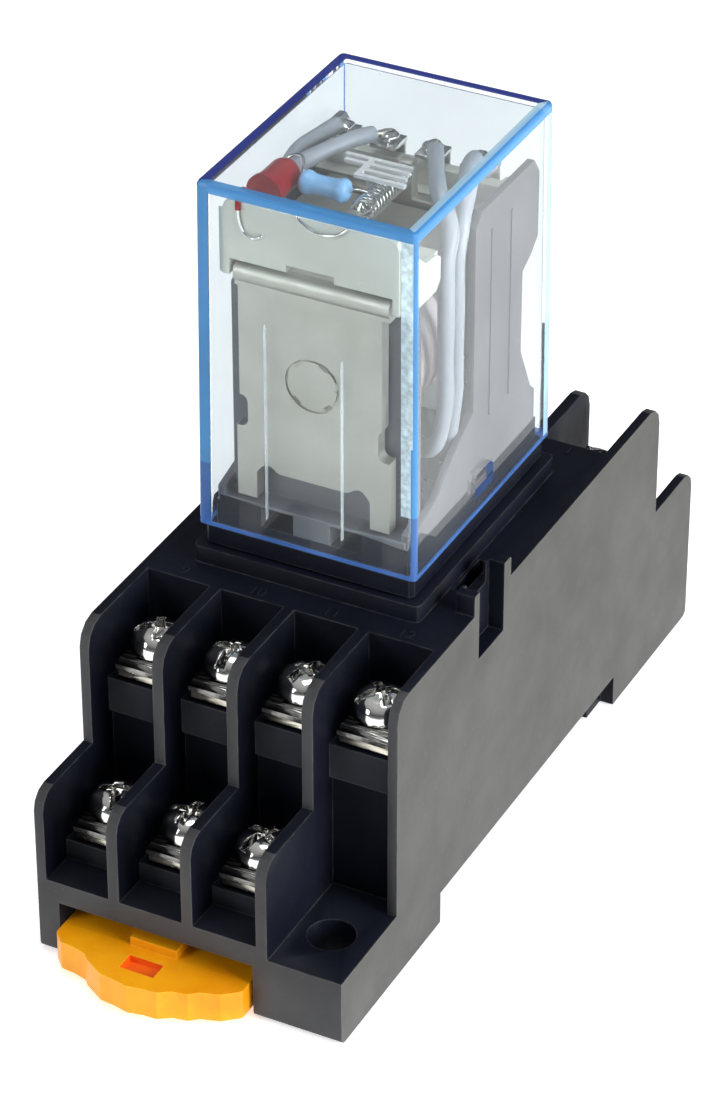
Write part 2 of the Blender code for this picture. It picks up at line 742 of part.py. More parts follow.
def retaining_comb(bm):
    """A flat leaf over the spring: a spine with four fingers to one side and two to the other."""
    fingers = [(-2.6, 3.9), (-1.55, 3.5), (-0.5, 3.3), (0.45, 3.1)]
    outline = [(-1.0, -2.6)]
    for y, reach in fingers[:-1]:
        outline += [(reach, y), (reach, y + 0.45), (-0.5, y + 0.45), (-0.5, y + 1.05 if y < -0.6 else 0.45)]
    outline += [(3.1, 0.45), (3.1, 0.9), (-3.4, 0.9), (-3.4, 0.45), (-1.0, 0.45), (-1.0, -0.05)]
    outline += [(-3.0, -0.05), (-3.0, -0.5), (-1.0, -0.5)]
    add_prism(bm, outline, "z", 31.5, 31.85)


def comb_leg(bm):
    add_box(bm, -0.9, -0.6, -0.45, 0.35, 26.5, 31.7)


def make_yoke():
    bm = bmesh.new()
    add_prism(bm, yoke_outline(), "x", -YOKE_X, YOKE_X)
    yoke = finish(bm, "yoke", PARTS)
    joined(yoke, [spring_post, comb_leg, retaining_comb], "UNION")
    joined(yoke, [yoke_trims], "DIFFERENCE")
    profile = [(0, 1.7), (3.2, 1.7), (3.2, 1.15), (2.5, 1.15), (2.5, -12.4), (0, -12.4)]
    core = lathe("tool_core", profile, CUTTERS, 16)
    core.data.transform(Matrix.Translation((0, 0, COIL_Z * MM)) @ Matrix.Rotation(-math.pi / 2, 4, "X"))
    outwards(core)
    boolean(yoke, core, "UNION")
    bake(yoke, core)
    to_relay(yoke)
    dress(yoke, NICKEL)


def make_bobbin():
    flange = rounded(-7.6, 7.6, COIL_Z - 7.7, COIL_Z + 7.9, 1.6, 2)

    def rear_flange(bm):
        add_prism(bm, flange, "y", 0.1, 0.85)

    def barrel(bm):
        add_cylinder(bm, (0, COIL_Z), 3.3, "y", -9.2, 0.5, 16)

    def bore(bm):
        add_cylinder(bm, (0, COIL_Z), 2.8, "y", -11, 2, 16)

    bm = bmesh.new()
    add_prism(bm, flange, "y", -9.5, -8.7)
    bobbin = finish(bm, "bobbin", PARTS)
    joined(bobbin, [rear_flange, barrel], "UNION")
    joined(bobbin, [bore], "DIFFERENCE")
    to_relay(bobbin, (0, 0, COIL_Z))
    dress(bobbin, CREAM)


def make_winding():
    profile = [(3.6, -0.2), (6.8, -0.2), (7.0, -0.5), (7.0, -8.1), (6.8, -8.4), (3.6, -8.4), (3.6, -0.2)]
    winding = lathe("coil_winding", profile, PARTS, 20)
    winding.data.transform(Matrix.Translation((0, 0, COIL_Z * MM)) @ Matrix.Rotation(-math.pi / 2, 4, "X"))
    outwards(winding)
    to_relay(winding, (0, 0, COIL_Z))
    dress(winding, WINDING, smooth=True)


def make_armature():
    outline = [
        (-6.8, 12.3), (6.8, 12.3), (6.8, 27.4), (SPRING_X + 0.8, 27.4), (SPRING_X + 0.8, SPRING_Z + 0.9),
        (SPRING_X - 0.8, SPRING_Z + 0.9), (SPRING_X - 0.8, 27.4), (-6.8, 27.4),
    ]
    bm = bmesh.new()
    add_prism(bm, fillet(outline, {0: 0.8, 1: 0.8, 4: 0.3, 5: 0.3}, 2), "y", 2.9, 4.1)
    armature = finish(bm, "armature", PARTS)
    to_relay(armature, HINGE)
    dress(armature, NICKEL)


def make_card():
    """The moulded carrier on the armature's back that holds the four contact leaves apart."""
    side = [(4.4, 18.5), (7.2, 18.5), (7.2, 29.2), (5.9, 29.2), (5.9, 27.4), (4.4, 27.4)]

    def ribs(bm):
        for x in (-8.1, -4.4, 0.0, 4.4, 8.1):
            add_box(bm, x - 0.4, x + 0.4, 7.0, 9.0, 19.0, 28.6)

    bm = bmesh.new()
    add_prism(bm, side, "x", -8.4, 8.4)
    card = finish(bm, "contact_card", PARTS)
    joined(card, [ribs], "UNION")
    to_relay(card, HINGE)
    dress(card, GREY)


def make_return_spring():
    turns, per_turn = 11, 9
    start, stop = -6.0, 2.5
    points = []
    for index in range(turns * per_turn + 1):
        share = index / (turns * per_turn)
        angle = 2 * math.pi * turns * share
        across = SPRING_X + SPRING_R * math.cos(angle)
        points.append((across, start + (stop - start) * share, SPRING_Z + SPRING_R * math.sin(angle)))
    spring = tube("return_spring", points, SPRING_WIRE, PARTS, 4)
    to_relay(spring, (SPRING_X, start, SPRING_Z))
    dress(spring, NICKEL, smooth=True)


def make_indicator():
    lens = [(0, 2.5), (0.9, 2.3), (1.4, 1.7), (1.5, 1.0), (1.5, -2.2), (1.7, -2.2), (1.7, -2.7), (0, -2.7)]
    led = lathe("indicator_led", lens, PARTS, 12)
    middle = Matrix.Translation(Vector((-6.9, -5.4, 31.2)) * MM)
    led.data.transform(middle @ Matrix.Rotation(-math.pi / 2, 4, "X"))
    outwards(led)
    to_relay(led, (-6.9, -5.4, 31.2))
    dress(led, RED, smooth=True)
    half = [(0, 2.4), (0.8, 2.4), (1.1, 1.95), (1.0, 1.2)]
    resistor = lathe("led_resistor", half + [(r, -z) for r, z in reversed(half)], PARTS, 10)
    middle = Matrix.Translation(Vector((-2.6, -4.8, 31.3)) * MM)
    resistor.data.transform(middle @ Matrix.Rotation(math.pi / 2, 4, "Y"))
    outwards(resistor)
    to_relay(resistor, (-2.6, -4.8, 31.3))
    dress(resistor, BLUE, smooth=True)


# ---------------------------------------------------------------- relay: contacts

def rivet(y0, y1):
    def build(bm):
        add_cylinder(bm, (0, CONTACT_Z), 1.0, "y", y0, y1, 10)
    return build


def blade_outline(top):
    return [
        (-BLADE_W / 2, BLADE_TIP + 0.6), (-BLADE_W / 2 + 0.6, BLADE_TIP), (BLADE_W / 2 - 0.6, BLADE_TIP),
        (BLADE_W / 2, BLADE_TIP + 0.6), (BLADE_W / 2, top), (-BLADE_W / 2, top),
    ]


def make_blade(name, x, y, top, extras):
    bm = bmesh.new()
    add_prism(bm, blade_outline(top), "y", y - BLADE_T / 2, y + BLADE_T / 2)
    blade = finish(bm, name, PARTS)
    joined(blade, extras, "UNION")
    blade.data.transform(Matrix.Translation((x * MM, 0, 0)))
    to_relay(blade, (x, y, 0))
    dress(blade, SILVER)
    return blade


def lead_points(index):
    """The path of a sleeved lead from its leaf's lug, down beside the coil, to its common blade."""
    side = -1 if index < 2 else 1
    outer = index in (0, 3)
    x = abs(COLUMNS[index])
    if outer:
        path = [(x, 7.0, 31.5), (x + 0.4, 4.0, 31.5), (8.0, 0.6, 31.0), (8.6, -1.8, 29.0), (8.75, -2.9, 26.0)]
        path += [(8.8, -3.0, 18.0), (8.7, -3.0, 12.5), (8.0, -2.6, 8.2), (7.2, -2.2, 6.2), (6.6, -1.4, 4.3)]
    else:
        path = [(x, 7.0, 31.5), (x + 1.8, 3.4, 31.7), (6.2, -0.6, 31.2), (8.3, -3.3, 29.6), (8.75, -4.7, 26.5)]
        path += [(8.8, -4.9, 18.0), (8.7, -4.9, 12.5), (7.6, -4.8, 8.2), (4.6, -3.6, 6.4), (2.2, -1.4, 4.3)]
    return [(side * u, v, w) for u, v, w in path]


def make_common(index):
    blade = make_blade(f"com_{index + 1}", COLUMNS[index], COM_Y, 4.9, [])
    lead = tube("tool_lead", lead_points(index), 0.6, CUTTERS, 6)
    lead.data.transform(Matrix.Translation(RELAY * MM - blade.location))
    lead.location = blade.location
    outwards(lead)
    boolean(blade, lead, "UNION")
    bpy.context.view_layer.update()
    bake(blade, lead)


def make_moving_contact(index):
    x = COLUMNS[index]
    outline = [(-1.1, 7.7), (1.1, 7.7), (1.1, 30.6), (-1.1, 30.6)]

    def lug(bm):
        add_box(bm, -1.2, 1.2, 5.2, LEAF_Y[1], 30.2, 30.6)

    bm = bmesh.new()
    add_prism(bm, outline, "y", *LEAF_Y)
    leaf = finish(bm, f"moving_contact_{index + 1}", PARTS)
    joined(leaf, [lug, rivet(6.96, 8.46)], "UNION")
    leaf.data.transform(Matrix.Translation((x * MM, 0, 0)))
    to_relay(leaf, HINGE)
    dress(leaf, SILVER)


def make_contacts():
    for index, x in enumerate(COLUMNS):
        make_blade(f"nc_{index + 1}", x, NC_Y, 10.6, [rivet(8.58, 9.2)])
        make_blade(f"no_{index + 1}", x, NO_Y, 10.6, [rivet(5.0, 5.65)])
        make_common(index)
        make_moving_contact(index)
    make_blade("coil_1", COLUMNS[0], COIL_Y, 4.9, [])
    make_blade("coil_2", COLUMNS[3], COIL_Y, 4.9, [])


def set_on_rail():
    """Everything drawn from the underside up, lowered so that the rail's face is at zero."""
    datum = bpy.data.objects.new("rail_datum", None)
    datum.location = (0, 0, -RAIL_Z * MM)
    PARTS.objects.link(datum)
    for obj in list(PARTS.objects) + list(CUTTERS.objects):
        if obj is not datum:
            obj.parent = datum


clear_scene()
PARTS = new_collection("plug_in_relay", False)
CUTTERS = new_collection("cutters", True)
BLACK = material("black_nylon", (0.012, 0.013, 0.016), 0.0, 0.45)
ORANGE = material("orange_nylon", (0.9, 0.32, 0.01), 0.0, 0.4)
NICKEL = material("nickel_steel", (0.62, 0.62, 0.58), 1.0, 0.25)
BRASS = material("tinned_brass", (0.7, 0.66, 0.52), 1.0, 0.3)
SILVER = material("silver_plate", (0.75, 0.75, 0.73), 1.0, 0.25)
CLEAR = material("blue_clear", (0.75, 0.88, 1.0), 0.0, 0.05, 0.25)
GREY = material("grey_phenolic", (0.14, 0.15, 0.165), 0.0, 0.5)
CREAM = material("cream_nylon", (0.62, 0.65, 0.58), 0.0, 0.45)
WINDING = material("coil_tape", (0.72, 0.6, 0.58), 0.0, 0.5)
RED = material("red_led", (0.7, 0.02, 0.02), 0.0, 0.2)
BLUE = material("blue_resistor", (0.25, 0.5, 0.75), 0.0, 0.4)
make_housing()
make_base_plate()
make_rail_clip()
make_terminals()
make_cover()
make_base()
make_indicator_plate()
make_yoke()
make_bobbin()
make_winding()
make_armature()
make_card()
make_return_spring()
make_indicator()
make_contacts()
set_on_rail()
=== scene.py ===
"""Looks of the plug-in relay and its rail socket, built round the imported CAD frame."""

import math

import bmesh
import bpy
from mathutils import Matrix, Vector, noise


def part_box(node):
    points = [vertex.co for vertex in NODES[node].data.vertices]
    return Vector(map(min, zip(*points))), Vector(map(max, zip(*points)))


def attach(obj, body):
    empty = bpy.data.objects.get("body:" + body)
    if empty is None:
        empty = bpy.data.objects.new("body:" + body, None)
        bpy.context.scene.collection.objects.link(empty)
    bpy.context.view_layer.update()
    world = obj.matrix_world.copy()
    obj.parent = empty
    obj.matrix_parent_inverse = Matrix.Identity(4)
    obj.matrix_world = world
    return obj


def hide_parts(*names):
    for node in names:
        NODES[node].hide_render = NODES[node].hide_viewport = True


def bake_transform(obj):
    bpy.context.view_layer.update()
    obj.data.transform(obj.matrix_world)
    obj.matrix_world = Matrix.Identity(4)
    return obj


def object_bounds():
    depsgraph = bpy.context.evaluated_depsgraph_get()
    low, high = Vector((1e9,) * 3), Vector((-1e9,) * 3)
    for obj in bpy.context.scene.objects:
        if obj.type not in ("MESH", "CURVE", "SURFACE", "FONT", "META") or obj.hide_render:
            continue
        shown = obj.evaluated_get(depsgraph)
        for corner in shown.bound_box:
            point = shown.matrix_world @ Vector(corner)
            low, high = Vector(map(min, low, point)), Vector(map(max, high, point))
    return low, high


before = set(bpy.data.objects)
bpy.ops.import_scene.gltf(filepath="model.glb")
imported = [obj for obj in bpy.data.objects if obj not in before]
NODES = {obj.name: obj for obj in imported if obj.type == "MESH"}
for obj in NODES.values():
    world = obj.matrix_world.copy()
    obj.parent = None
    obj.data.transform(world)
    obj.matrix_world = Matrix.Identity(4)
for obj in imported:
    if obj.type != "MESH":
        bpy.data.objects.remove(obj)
CAD_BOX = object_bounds()
MM = 0.001


# ---------------------------------------------------------------- places read from the frame

def mm_box(node):
    """A node's lowest and highest corner, in millimetres."""
    lo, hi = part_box(node)
    return lo / MM, hi / MM


COVER_LO, COVER_HI = mm_box("relay_cover")
RELAY = Vector(((COVER_LO.x + COVER_HI.x) / 2, (COVER_LO.y + COVER_HI.y) / 2, COVER_LO.z))
HOUSE_HI = mm_box("socket_housing")[1]
FLOOR_Z = CAD_BOX[0].z
SCREWS = sorted(n for n in NODES if n.startswith("terminal_screw_"))


# ---------------------------------------------------------------- mesh helpers

def link(obj):
    bpy.context.scene.collection.objects.link(obj)
    return obj


def finish_mesh(bm, name, scale=MM):
    """An object of a mesh that was drawn in millimetres."""
    bmesh.ops.recalc_face_normals(bm, faces=bm.faces)
    bmesh.ops.scale(bm, vec=(scale,) * 3, verts=bm.verts)
    mesh = bpy.data.meshes.new(name)
    bm.to_mesh(mesh)
    bm.free()
    return link(bpy.data.objects.new(name, mesh))


def add_box(bm, lo, hi):
    lo, hi = Vector(lo), Vector(hi)
    size = Matrix.Diagonal((*(hi - lo), 1.0))
    bmesh.ops.create_cube(bm, size=1.0, matrix=Matrix.Translation((lo + hi) / 2) @ size)


def on_axis(axis, u, v, w):
    """The point w along the axis, with u and v on the other two in their order."""
    return {"x": (w, u, v), "y": (u, w, v), "z": (u, v, w)}[axis]


def add_prism(bm, outline, axis, low, high):
    """The outline drawn out along the axis."""
    ends = [[bm.verts.new(on_axis(axis, u, v, w)) for u, v in outline] for w in (low, high)]
    bm.faces.new(ends[0])
    bm.faces.new(list(reversed(ends[1])))
    for index in range(len(outline)):
        after = (index + 1) % len(outline)
        bm.faces.new((ends[0][index], ends[0][after], ends[1][after], ends[1][index]))


def rounded(points, radii, steps=4):
    """An outline with the corners whose index is in radii rounded."""
    out = []
    for index, point in enumerate(points):
        if index not in radii:
            out.append(tuple(point))
            continue
        corner = Vector(point)
        before = Vector(points[index - 1]) - corner
        after = Vector(points[(index + 1) % len(points)]) - corner
        half = before.angle(after) / 2
        reach = radii[index] / math.tan(half)
        start, end = corner + before.normalized() * reach, corner + after.normalized() * reach
        inward = (before.normalized() + after.normalized()).normalized()
        centre = corner + inward * (radii[index] / math.sin(half))
        for step in range(steps + 1):
            spot = start.lerp(end, step / steps) - centre
            out.append(tuple(centre + spot.normalized() * radii[index]))
    return out


def lathe(bm, profile, sides, place=Matrix.Identity(4)):
    """A closed profile of (radius, height), from the top down, turned round Z."""
    rings = []
    for radius, height in profile:
        if radius < 1e-6:
            rings.append([bm.verts.new(place @ Vector((0, 0, height)))])
            continue
        ring = []
        for side in range(sides):
            angle = 2 * math.pi * side / sides
            spot = Vector((radius * math.cos(angle), radius * math.sin(angle), height))
            ring.append(bm.verts.new(place @ spot))
        rings.append(ring)
    for upper, lower in zip(rings, rings[1:]):
        for side in range(sides):
            after = (side + 1) % sides
            corners = [upper[side % len(upper)], upper[after % len(upper)],
                       lower[after % len(lower)], lower[side % len(lower)]]
            corners = list(dict.fromkeys(corners))
            if len(corners) > 2:
                bm.faces.new(corners)


def smooth_path(points, per_span=8):
    """Points of a Catmull-Rom curve through the given ones."""
    knots = [Vector(p) for p in points]
    padded = [2 * knots[0] - knots[1]] + knots + [2 * knots[-1] - knots[-2]]
    out = []
    for a, b, c, d in zip(padded, padded[1:], padded[2:], padded[3:]):
        for step in range(per_span):
            t = step / per_span
            out.append(0.5 * ((2 * b) + (c - a) * t + (2 * a - 5 * b + 4 * c - d) * t * t
                              + (3 * b - a - 3 * c + d) * t ** 3))
    return out + [knots[-1]]


def sweep(bm, points, radius, sides=12):
    """A round tube along points; radius is a number or a function of the share along it."""
    rings = []
    previous = None
    count = len(points)
    for index, point in enumerate(points):
        ahead = points[min(index + 1, count - 1)] - points[max(index - 1, 0)]
        along = ahead.normalized()
        if previous is None:
            previous = along.orthogonal().normalized()
        across = (previous - along * previous.dot(along)).normalized()
        previous = across
        other = along.cross(across)
        size = radius(index / (count - 1)) if callable(radius) else radius
        turns = [2 * math.pi * side / sides for side in range(sides)]
        spots = [point + (across * math.cos(a) + other * math.sin(a)) * size for a in turns]
        rings.append([bm.verts.new(spot) for spot in spots])
    for first, second in zip(rings, rings[1:]):
        for side in range(sides):
            after = (side + 1) % sides
            bm.faces.new((first[side], first[after], second[after], second[side]))
    bm.faces.new(list(reversed(rings[0])))
    bm.faces.new(rings[-1])


def bevelled(obj, width, segments=2, angle=30):
    """The object with its sharp edges broken; the width is in millimetres."""
    modifier = obj.modifiers.new("edges", "BEVEL")
    modifier.width = width * MM
    modifier.segments = segments
    modifier.limit_method = "ANGLE"
    modifier.angle_limit = math.radians(angle)
    modifier.harden_normals = True
    return obj


def smoothed(obj, angle=35):
    obj.data.shade_smooth()
    obj.data.set_sharp_from_angle(angle=math.radians(angle))
    return obj


def applied(obj):
    """The object with its modifiers worked into its mesh."""
    graph = bpy.context.evaluated_depsgraph_get()
    mesh = bpy.data.meshes.new_from_object(obj.evaluated_get(graph))
    old = obj.data
    obj.modifiers.clear()
    obj.data = mesh
    bpy.data.meshes.remove(old)
    return obj


def cut(obj, tool, operation="DIFFERENCE"):
    """The tool is taken from the object, or joined to it, and is gone afterwards."""
    modifier = obj.modifiers.new("cut", "BOOLEAN")
    modifier.operation = operation
    modifier.object = tool
    applied(obj)
    bpy.data.objects.remove(tool)
    return obj


def dress(obj, *materials):
    obj.data.materials.clear()
    for material in materials:
        obj.data.materials.append(material)
    return obj


def soften_node(name, width, material, segments=2, angle=25):
    """A CAD node kept as it is, with its flat faces made whole, its edges broken and a finish."""
    obj = NODES[name]
    weld = obj.modifiers.new("weld", "WELD")
    weld.merge_threshold = 0.002 * MM
    flat = obj.modifiers.new("flat", "DECIMATE")
    flat.decimate_type = "DISSOLVE"
    flat.angle_limit = math.radians(0.6)
    bevelled(obj, width, segments, angle)
    dress(obj, material)
    obj.data.shade_smooth()
    return obj


# ---------------------------------------------------------------- materials

class Nodes:
    """Short hand for making a material's nodes."""

    def __init__(self, name):
        self.material = bpy.data.materials.new(name)
        self.material.use_nodes = True
        self.tree = self.material.node_tree
        self.shader = self.tree.nodes["Principled BSDF"]
        self.output = self.tree.nodes["Material Output"]
        self.place = self.tree.nodes.new("ShaderNodeTexCoord").outputs["Object"]

    def add(self, kind, **values):
        node = self.tree.nodes.new(kind)
        for key, value in values.items():
            setattr(node, key, value)
        return node

    def link(self, source, target):
        self.tree.links.new(source, target)

    def set(self, **values):
        for key, value in values.items():
            self.shader.inputs[key.replace("_", " ")].default_value = value

    def noise(self, scale, detail=4.0, rough=0.55, stretch=None):
        node = self.add("ShaderNodeTexNoise")
        node.inputs["Scale"].default_value = scale
        node.inputs["Detail"].default_value = detail
        node.inputs["Roughness"].default_value = rough
        where = self.place
        if stretch:
            mapping = self.add("ShaderNodeMapping")
            mapping.inputs["Scale"].default_value = stretch
            self.link(self.place, mapping.inputs["Vector"])
            where = mapping.outputs[0]
        self.link(where, node.inputs["Vector"])
        return node.outputs[0]

    def ramp(self, source, *stops):
        node = self.add("ShaderNodeValToRGB")
        points = node.color_ramp.elements
        while len(points) < len(stops):
            points.new(0.5)
        for point, (position, colour) in zip(points, stops):
            point.position = position
            point.color = (*colour, 1.0)
        self.link(source, node.inputs[0])
        return node.outputs[0]

    def level(self, source, low, high, start=0.3, stop=0.7):
        node = self.add("ShaderNodeMapRange")
        node.inputs["From Min"].default_value = start
        node.inputs["From Max"].default_value = stop
        node.inputs["To Min"].default_value = low
        node.inputs["To Max"].default_value = high
        self.link(source, node.inputs["Value"])
        return node.outputs[0]

    def mix(self, factor, first, second):
        node = self.add("ShaderNodeMix", data_type="RGBA")
        for socket, value in ((node.inputs[0], factor), (node.inputs[6], first), (node.inputs[7], second)):
            if hasattr(value, "links"):
                self.link(value, socket)
            elif isinstance(value, (int, float)):
                socket.default_value = value
            else:
                socket.default_value = (*value, 1.0)
        return node.outputs[2]

    def math(self, operation, first, second=0.0):
        node = self.add("ShaderNodeMath", operation=operation)
        for socket, value in zip(node.inputs, (first, second)):
            if hasattr(value, "links"):
                self.link(value, socket)
            else:
                socket.default_value = value
        return node.outputs[0]

    def bump(self, height, strength, distance=0.0001):
        node = self.add("ShaderNodeBump")
        node.inputs["Strength"].default_value = strength
        node.inputs["Distance"].default_value = distance
        self.link(height, node.inputs["Height"])
        return node.outputs[0]

    def rubbed_edge(self, reach):
        """One along a sharp edge, nought on the flats: the mask of paler edges that are partly rubbed wear
        and partly a painted highlight.
        """
        edge = self.add("ShaderNodeBevel", samples=4)
        edge.inputs["Radius"].default_value = reach * MM
        plain = self.add("ShaderNodeNewGeometry").outputs["Normal"]
        dot = self.add("ShaderNodeVectorMath", operation="DOT_PRODUCT")
        self.link(edge.outputs[0], dot.inputs[0])
        self.link(plain, dot.inputs[1])
        return self.level(dot.outputs["Value"], 1.0, 0.0, 0.86, 0.995)

    def colour(self, source):
        self.link(source, self.shader.inputs["Base Color"])

    def rough(self, source):
        self.link(source, self.shader.inputs["Roughness"])

    def normal(self, source):
        self.link(source, self.shader.inputs["Normal"])

    def lets_lamps_through(self, colour):
        """Lamps shine through this piece, which the camera still sees as it is."""
        path = self.add("ShaderNodeLightPath")
        through = self.add("ShaderNodeBsdfTransparent")
        through.inputs[0].default_value = (*colour, 1.0)
        mix = self.add("ShaderNodeMixShader")
        self.link(path.outputs["Is Shadow Ray"], mix.inputs[0])
        self.link(self.shader.outputs[0], mix.inputs[1])
        self.link(through.outputs[0], mix.inputs[2])
        self.link(mix.outputs[0], self.output.inputs["Surface"])


def moulded(name, dark, light, gloss, grain=4000.0, relief=0.25, patch=90.0, worn=None, specular=0.5):
    """Moulded plastic: cloudy colour, uneven gloss, a fine grain and, where given, paler edges, partly
    rubbed wear and partly a painted highlight.
    """
    m = Nodes(name)
    colour = m.ramp(m.noise(patch, 5.0, 0.6), (0.32, dark), (0.68, light))
    speck = m.level(m.noise(patch * 22, 2.0, 0.5), 0.0, 0.12, 0.66, 0.74)
    colour = m.mix(speck, colour, tuple(min(1.0, 2.2 * c + 0.02) for c in light))
    # worn is the edge colour: partly rubbed wear, partly a painted highlight along the edges
    if worn:
        broken = m.level(m.noise(patch * 5, 3.0, 0.6), 0.08, 0.55, 0.35, 0.6)
        colour = m.mix(m.math("MULTIPLY", m.rubbed_edge(0.22), broken), colour, worn)
    m.colour(colour)
    m.rough(m.level(m.noise(patch * 2.3, 4.0, 0.6), *gloss))
    m.normal(m.bump(m.noise(grain, 2.0, 0.5), relief, 0.00003))
    m.shader.inputs["Specular IOR Level"].default_value = specular
    return m.material


def metal(name, dark, light, gloss, brushed=(1.0, 1.0, 1.0), patch=160.0, scratch=0.25):
    """Plated or bare metal: tone and gloss drift, with fine scratches along the brushing."""
    m = Nodes(name)
    m.colour(m.ramp(m.noise(patch, 4.0, 0.6), (0.3, dark), (0.7, light)))
    m.rough(m.level(m.noise(patch * 3, 4.0, 0.6), *gloss))
    m.normal(m.bump(m.noise(2600.0, 3.0, 0.6, brushed), scratch, 0.00002))
    m.set(Metallic=1.0)
    return m.material


def clear(name, tint, through, gloss=(0.0, 0.03), lamp=(0.95, 0.98, 1.0), ripple=0.02, grain=60.0):
    """See-through plastic with a cloudy share that isn't: through is the range of the clear share."""
    m = Nodes(name)
    paler = tuple(min(1.0, c * (1.04 if grain < 100 else 1.6)) for c in tint)
    m.colour(m.ramp(m.noise(grain, 3.0, 0.5), (0.35, tint), (0.65, paler)))
    m.set(IOR=1.2)
    m.link(m.level(m.noise(75.0, 3.0, 0.6), through[1], through[0]), m.shader.inputs["Transmission Weight"])
    m.rough(m.level(m.noise(110.0, 3.0, 0.6), *gloss))
    m.normal(m.bump(m.noise(max(140.0, grain), 2.0, 0.5), ripple, 0.0002))
    m.lets_lamps_through(lamp)
    return m.material


# The blues of the bands painted on the cover's edges, standing in for refraction and reflection: painted
# reflection.
SKY, DEEP, NAVY = (0.075, 0.25, 0.52), (0.09, 0.22, 0.56), (0.035, 0.05, 0.24)
MATERIALS = {
    # deck, front, side and block are copies of one black plastic, lighter or darker for the way a face
    # looks: painted light on the sides and blocks, painted shade on the deck
    "deck": moulded("black_deck", (0.0025, 0.0033, 0.008), (0.0055, 0.007, 0.014), (0.40, 0.58),
                    5200.0, 0.2, worn=(0.10, 0.10, 0.10), specular=0.13),
    "front": moulded("black_ends", (0.023, 0.024, 0.027), (0.040, 0.041, 0.043), (0.45, 0.62), 5200.0, 0.3,
                     worn=(0.15, 0.15, 0.145), specular=0.35),
    "block": moulded("black_blocks", (0.011, 0.013, 0.018), (0.019, 0.022, 0.030), (0.42, 0.6),
                     5200.0, 0.25, worn=(0.11, 0.11, 0.11), specular=0.2),
    "numeral": moulded("black_numerals", (0.006, 0.007, 0.011), (0.010, 0.012, 0.018), (0.42, 0.6),
                       specular=0.2),
    "side": moulded("black_sides", (0.048, 0.048, 0.0445), (0.070, 0.069, 0.0645), (0.5, 0.7), 4200.0, 0.35,
                    patch=60.0, worn=(0.17, 0.17, 0.16), specular=0.4),
    "orange": moulded("orange_nylon", (0.78, 0.26, 0.0015), (0.88, 0.385, 0.005), (0.3, 0.45), 3000.0, 0.12,
                      patch=130.0, worn=(1.0, 0.54, 0.02), specular=0.3),
    # pocket: the orange deeper and redder inside the tool pocket, as painted shade
    "pocket": moulded("orange_pocket", (0.80, 0.10, 0.002), (0.90, 0.15, 0.003), (0.35, 0.5), 3000.0, 0.12),
    "grey": moulded("grey_thermoset", (0.066, 0.068, 0.077), (0.10, 0.102, 0.112), (0.4, 0.6), 4200.0, 0.25,
                    worn=(0.3, 0.3, 0.3)),
    # pale_grey: the base's grey in a copy for its outer side walls, toned for the light on them, as painted
    # light
    "pale_grey": moulded("grey_thermoset_side", (0.065, 0.062, 0.065), (0.09, 0.086, 0.09), (0.4, 0.6)),
    "cream": moulded("cream_nylon", (0.41, 0.415, 0.36), (0.49, 0.495, 0.43), (0.35, 0.5), 2600.0, 0.12),
    "bobbin": moulded("bobbin_nylon", (0.42, 0.42, 0.40), (0.50, 0.50, 0.48), (0.35, 0.5), 2600.0, 0.12),
    "sleeve": moulded("white_sleeve", (0.20, 0.212, 0.235), (0.26, 0.274, 0.297), (0.35, 0.5), 2600.0, 0.2),
    "tape": moulded("coil_tape", (0.30, 0.25, 0.25), (0.40, 0.345, 0.345), (0.3, 0.5), 1800.0, 0.2,
                    patch=220.0),
    "blue": moulded("blue_coating", (0.13, 0.30, 0.52), (0.21, 0.40, 0.62), (0.15, 0.3), 1500.0, 0.3,
                    patch=300.0),
    "leaf": moulded("tinned_leaf", (0.46, 0.46, 0.45), (0.60, 0.60, 0.58), (0.2, 0.35), specular=0.8),
    "yoke": metal("nickel_yoke", (0.43, 0.425, 0.37), (0.51, 0.50, 0.445), (0.42, 0.55), (1.0, 1.0, 0.06),
                  scratch=0.12),
    "chrome": metal("bright_nickel", (0.66, 0.66, 0.64), (0.84, 0.84, 0.82), (0.05, 0.16), scratch=0.3),
    "washer": metal("dull_nickel", (0.13, 0.13, 0.125), (0.38, 0.38, 0.36), (0.08, 0.24), (0.2, 1.0, 1.0),
                    500.0),
    "strip": metal("tinned_strip", (0.55, 0.52, 0.44), (0.70, 0.67, 0.58), (0.2, 0.4), (1.0, 0.1, 1.0)),
    "silver": metal("silver_plate", (0.70, 0.70, 0.69), (0.84, 0.84, 0.82), (0.15, 0.3), (1.0, 1.0, 0.1)),
    "panel": clear("cover_panel", (0.80, 0.838, 0.857), (0.97, 0.992)),
    # The edge bands below are painted reflection: sky blue front and right, deep blue low down, navy left
    # and back, paler at the right and up the front right corner.
    "sky": clear("cover_edge_sky", SKY, (0.1, 0.3), (0.05, 0.15), (0.6, 0.8, 1.0)),
    "deep": clear("cover_edge_deep", DEEP, (0.4, 0.65), (0.05, 0.15), (0.5, 0.65, 1.0)),
    "navy": clear("cover_edge_navy", NAVY, (0.02, 0.15), (0.05, 0.15), (0.4, 0.5, 0.8)),
    "frost": clear("cover_edge_frost", (0.42, 0.54, 0.60), (0.2, 0.5), (0.25, 0.45), (0.8, 0.9, 1.0), 0.6,
                   1800.0),
    "haze": clear("cover_top", (0.79, 0.835, 0.855), (0.92, 0.96), (0.0, 0.03)),
    "pale": clear("cover_edge_pale", (0.36, 0.56, 0.70), (0.15, 0.3), (0.05, 0.15), (0.8, 0.9, 1.0)),
    "rib": clear("cover_rib", (0.85, 0.90, 0.92), (0.75, 0.9), (0.1, 0.2)),
    "lens": clear("red_lens", (0.30, 0.008, 0.014), (0.3, 0.5), (0.05, 0.12), (0.9, 0.2, 0.2)),
}


# ---------------------------------------------------------------- socket

CELL_PITCH = 7.4
DECK_DROP = 2.05
BLOCK_DROPS = (9.3, 21.8)
HOLE_X, HOLE_Y, HOLE_R = 11.3, 31.75, 2.4
NUMERAL_Y = 17.05


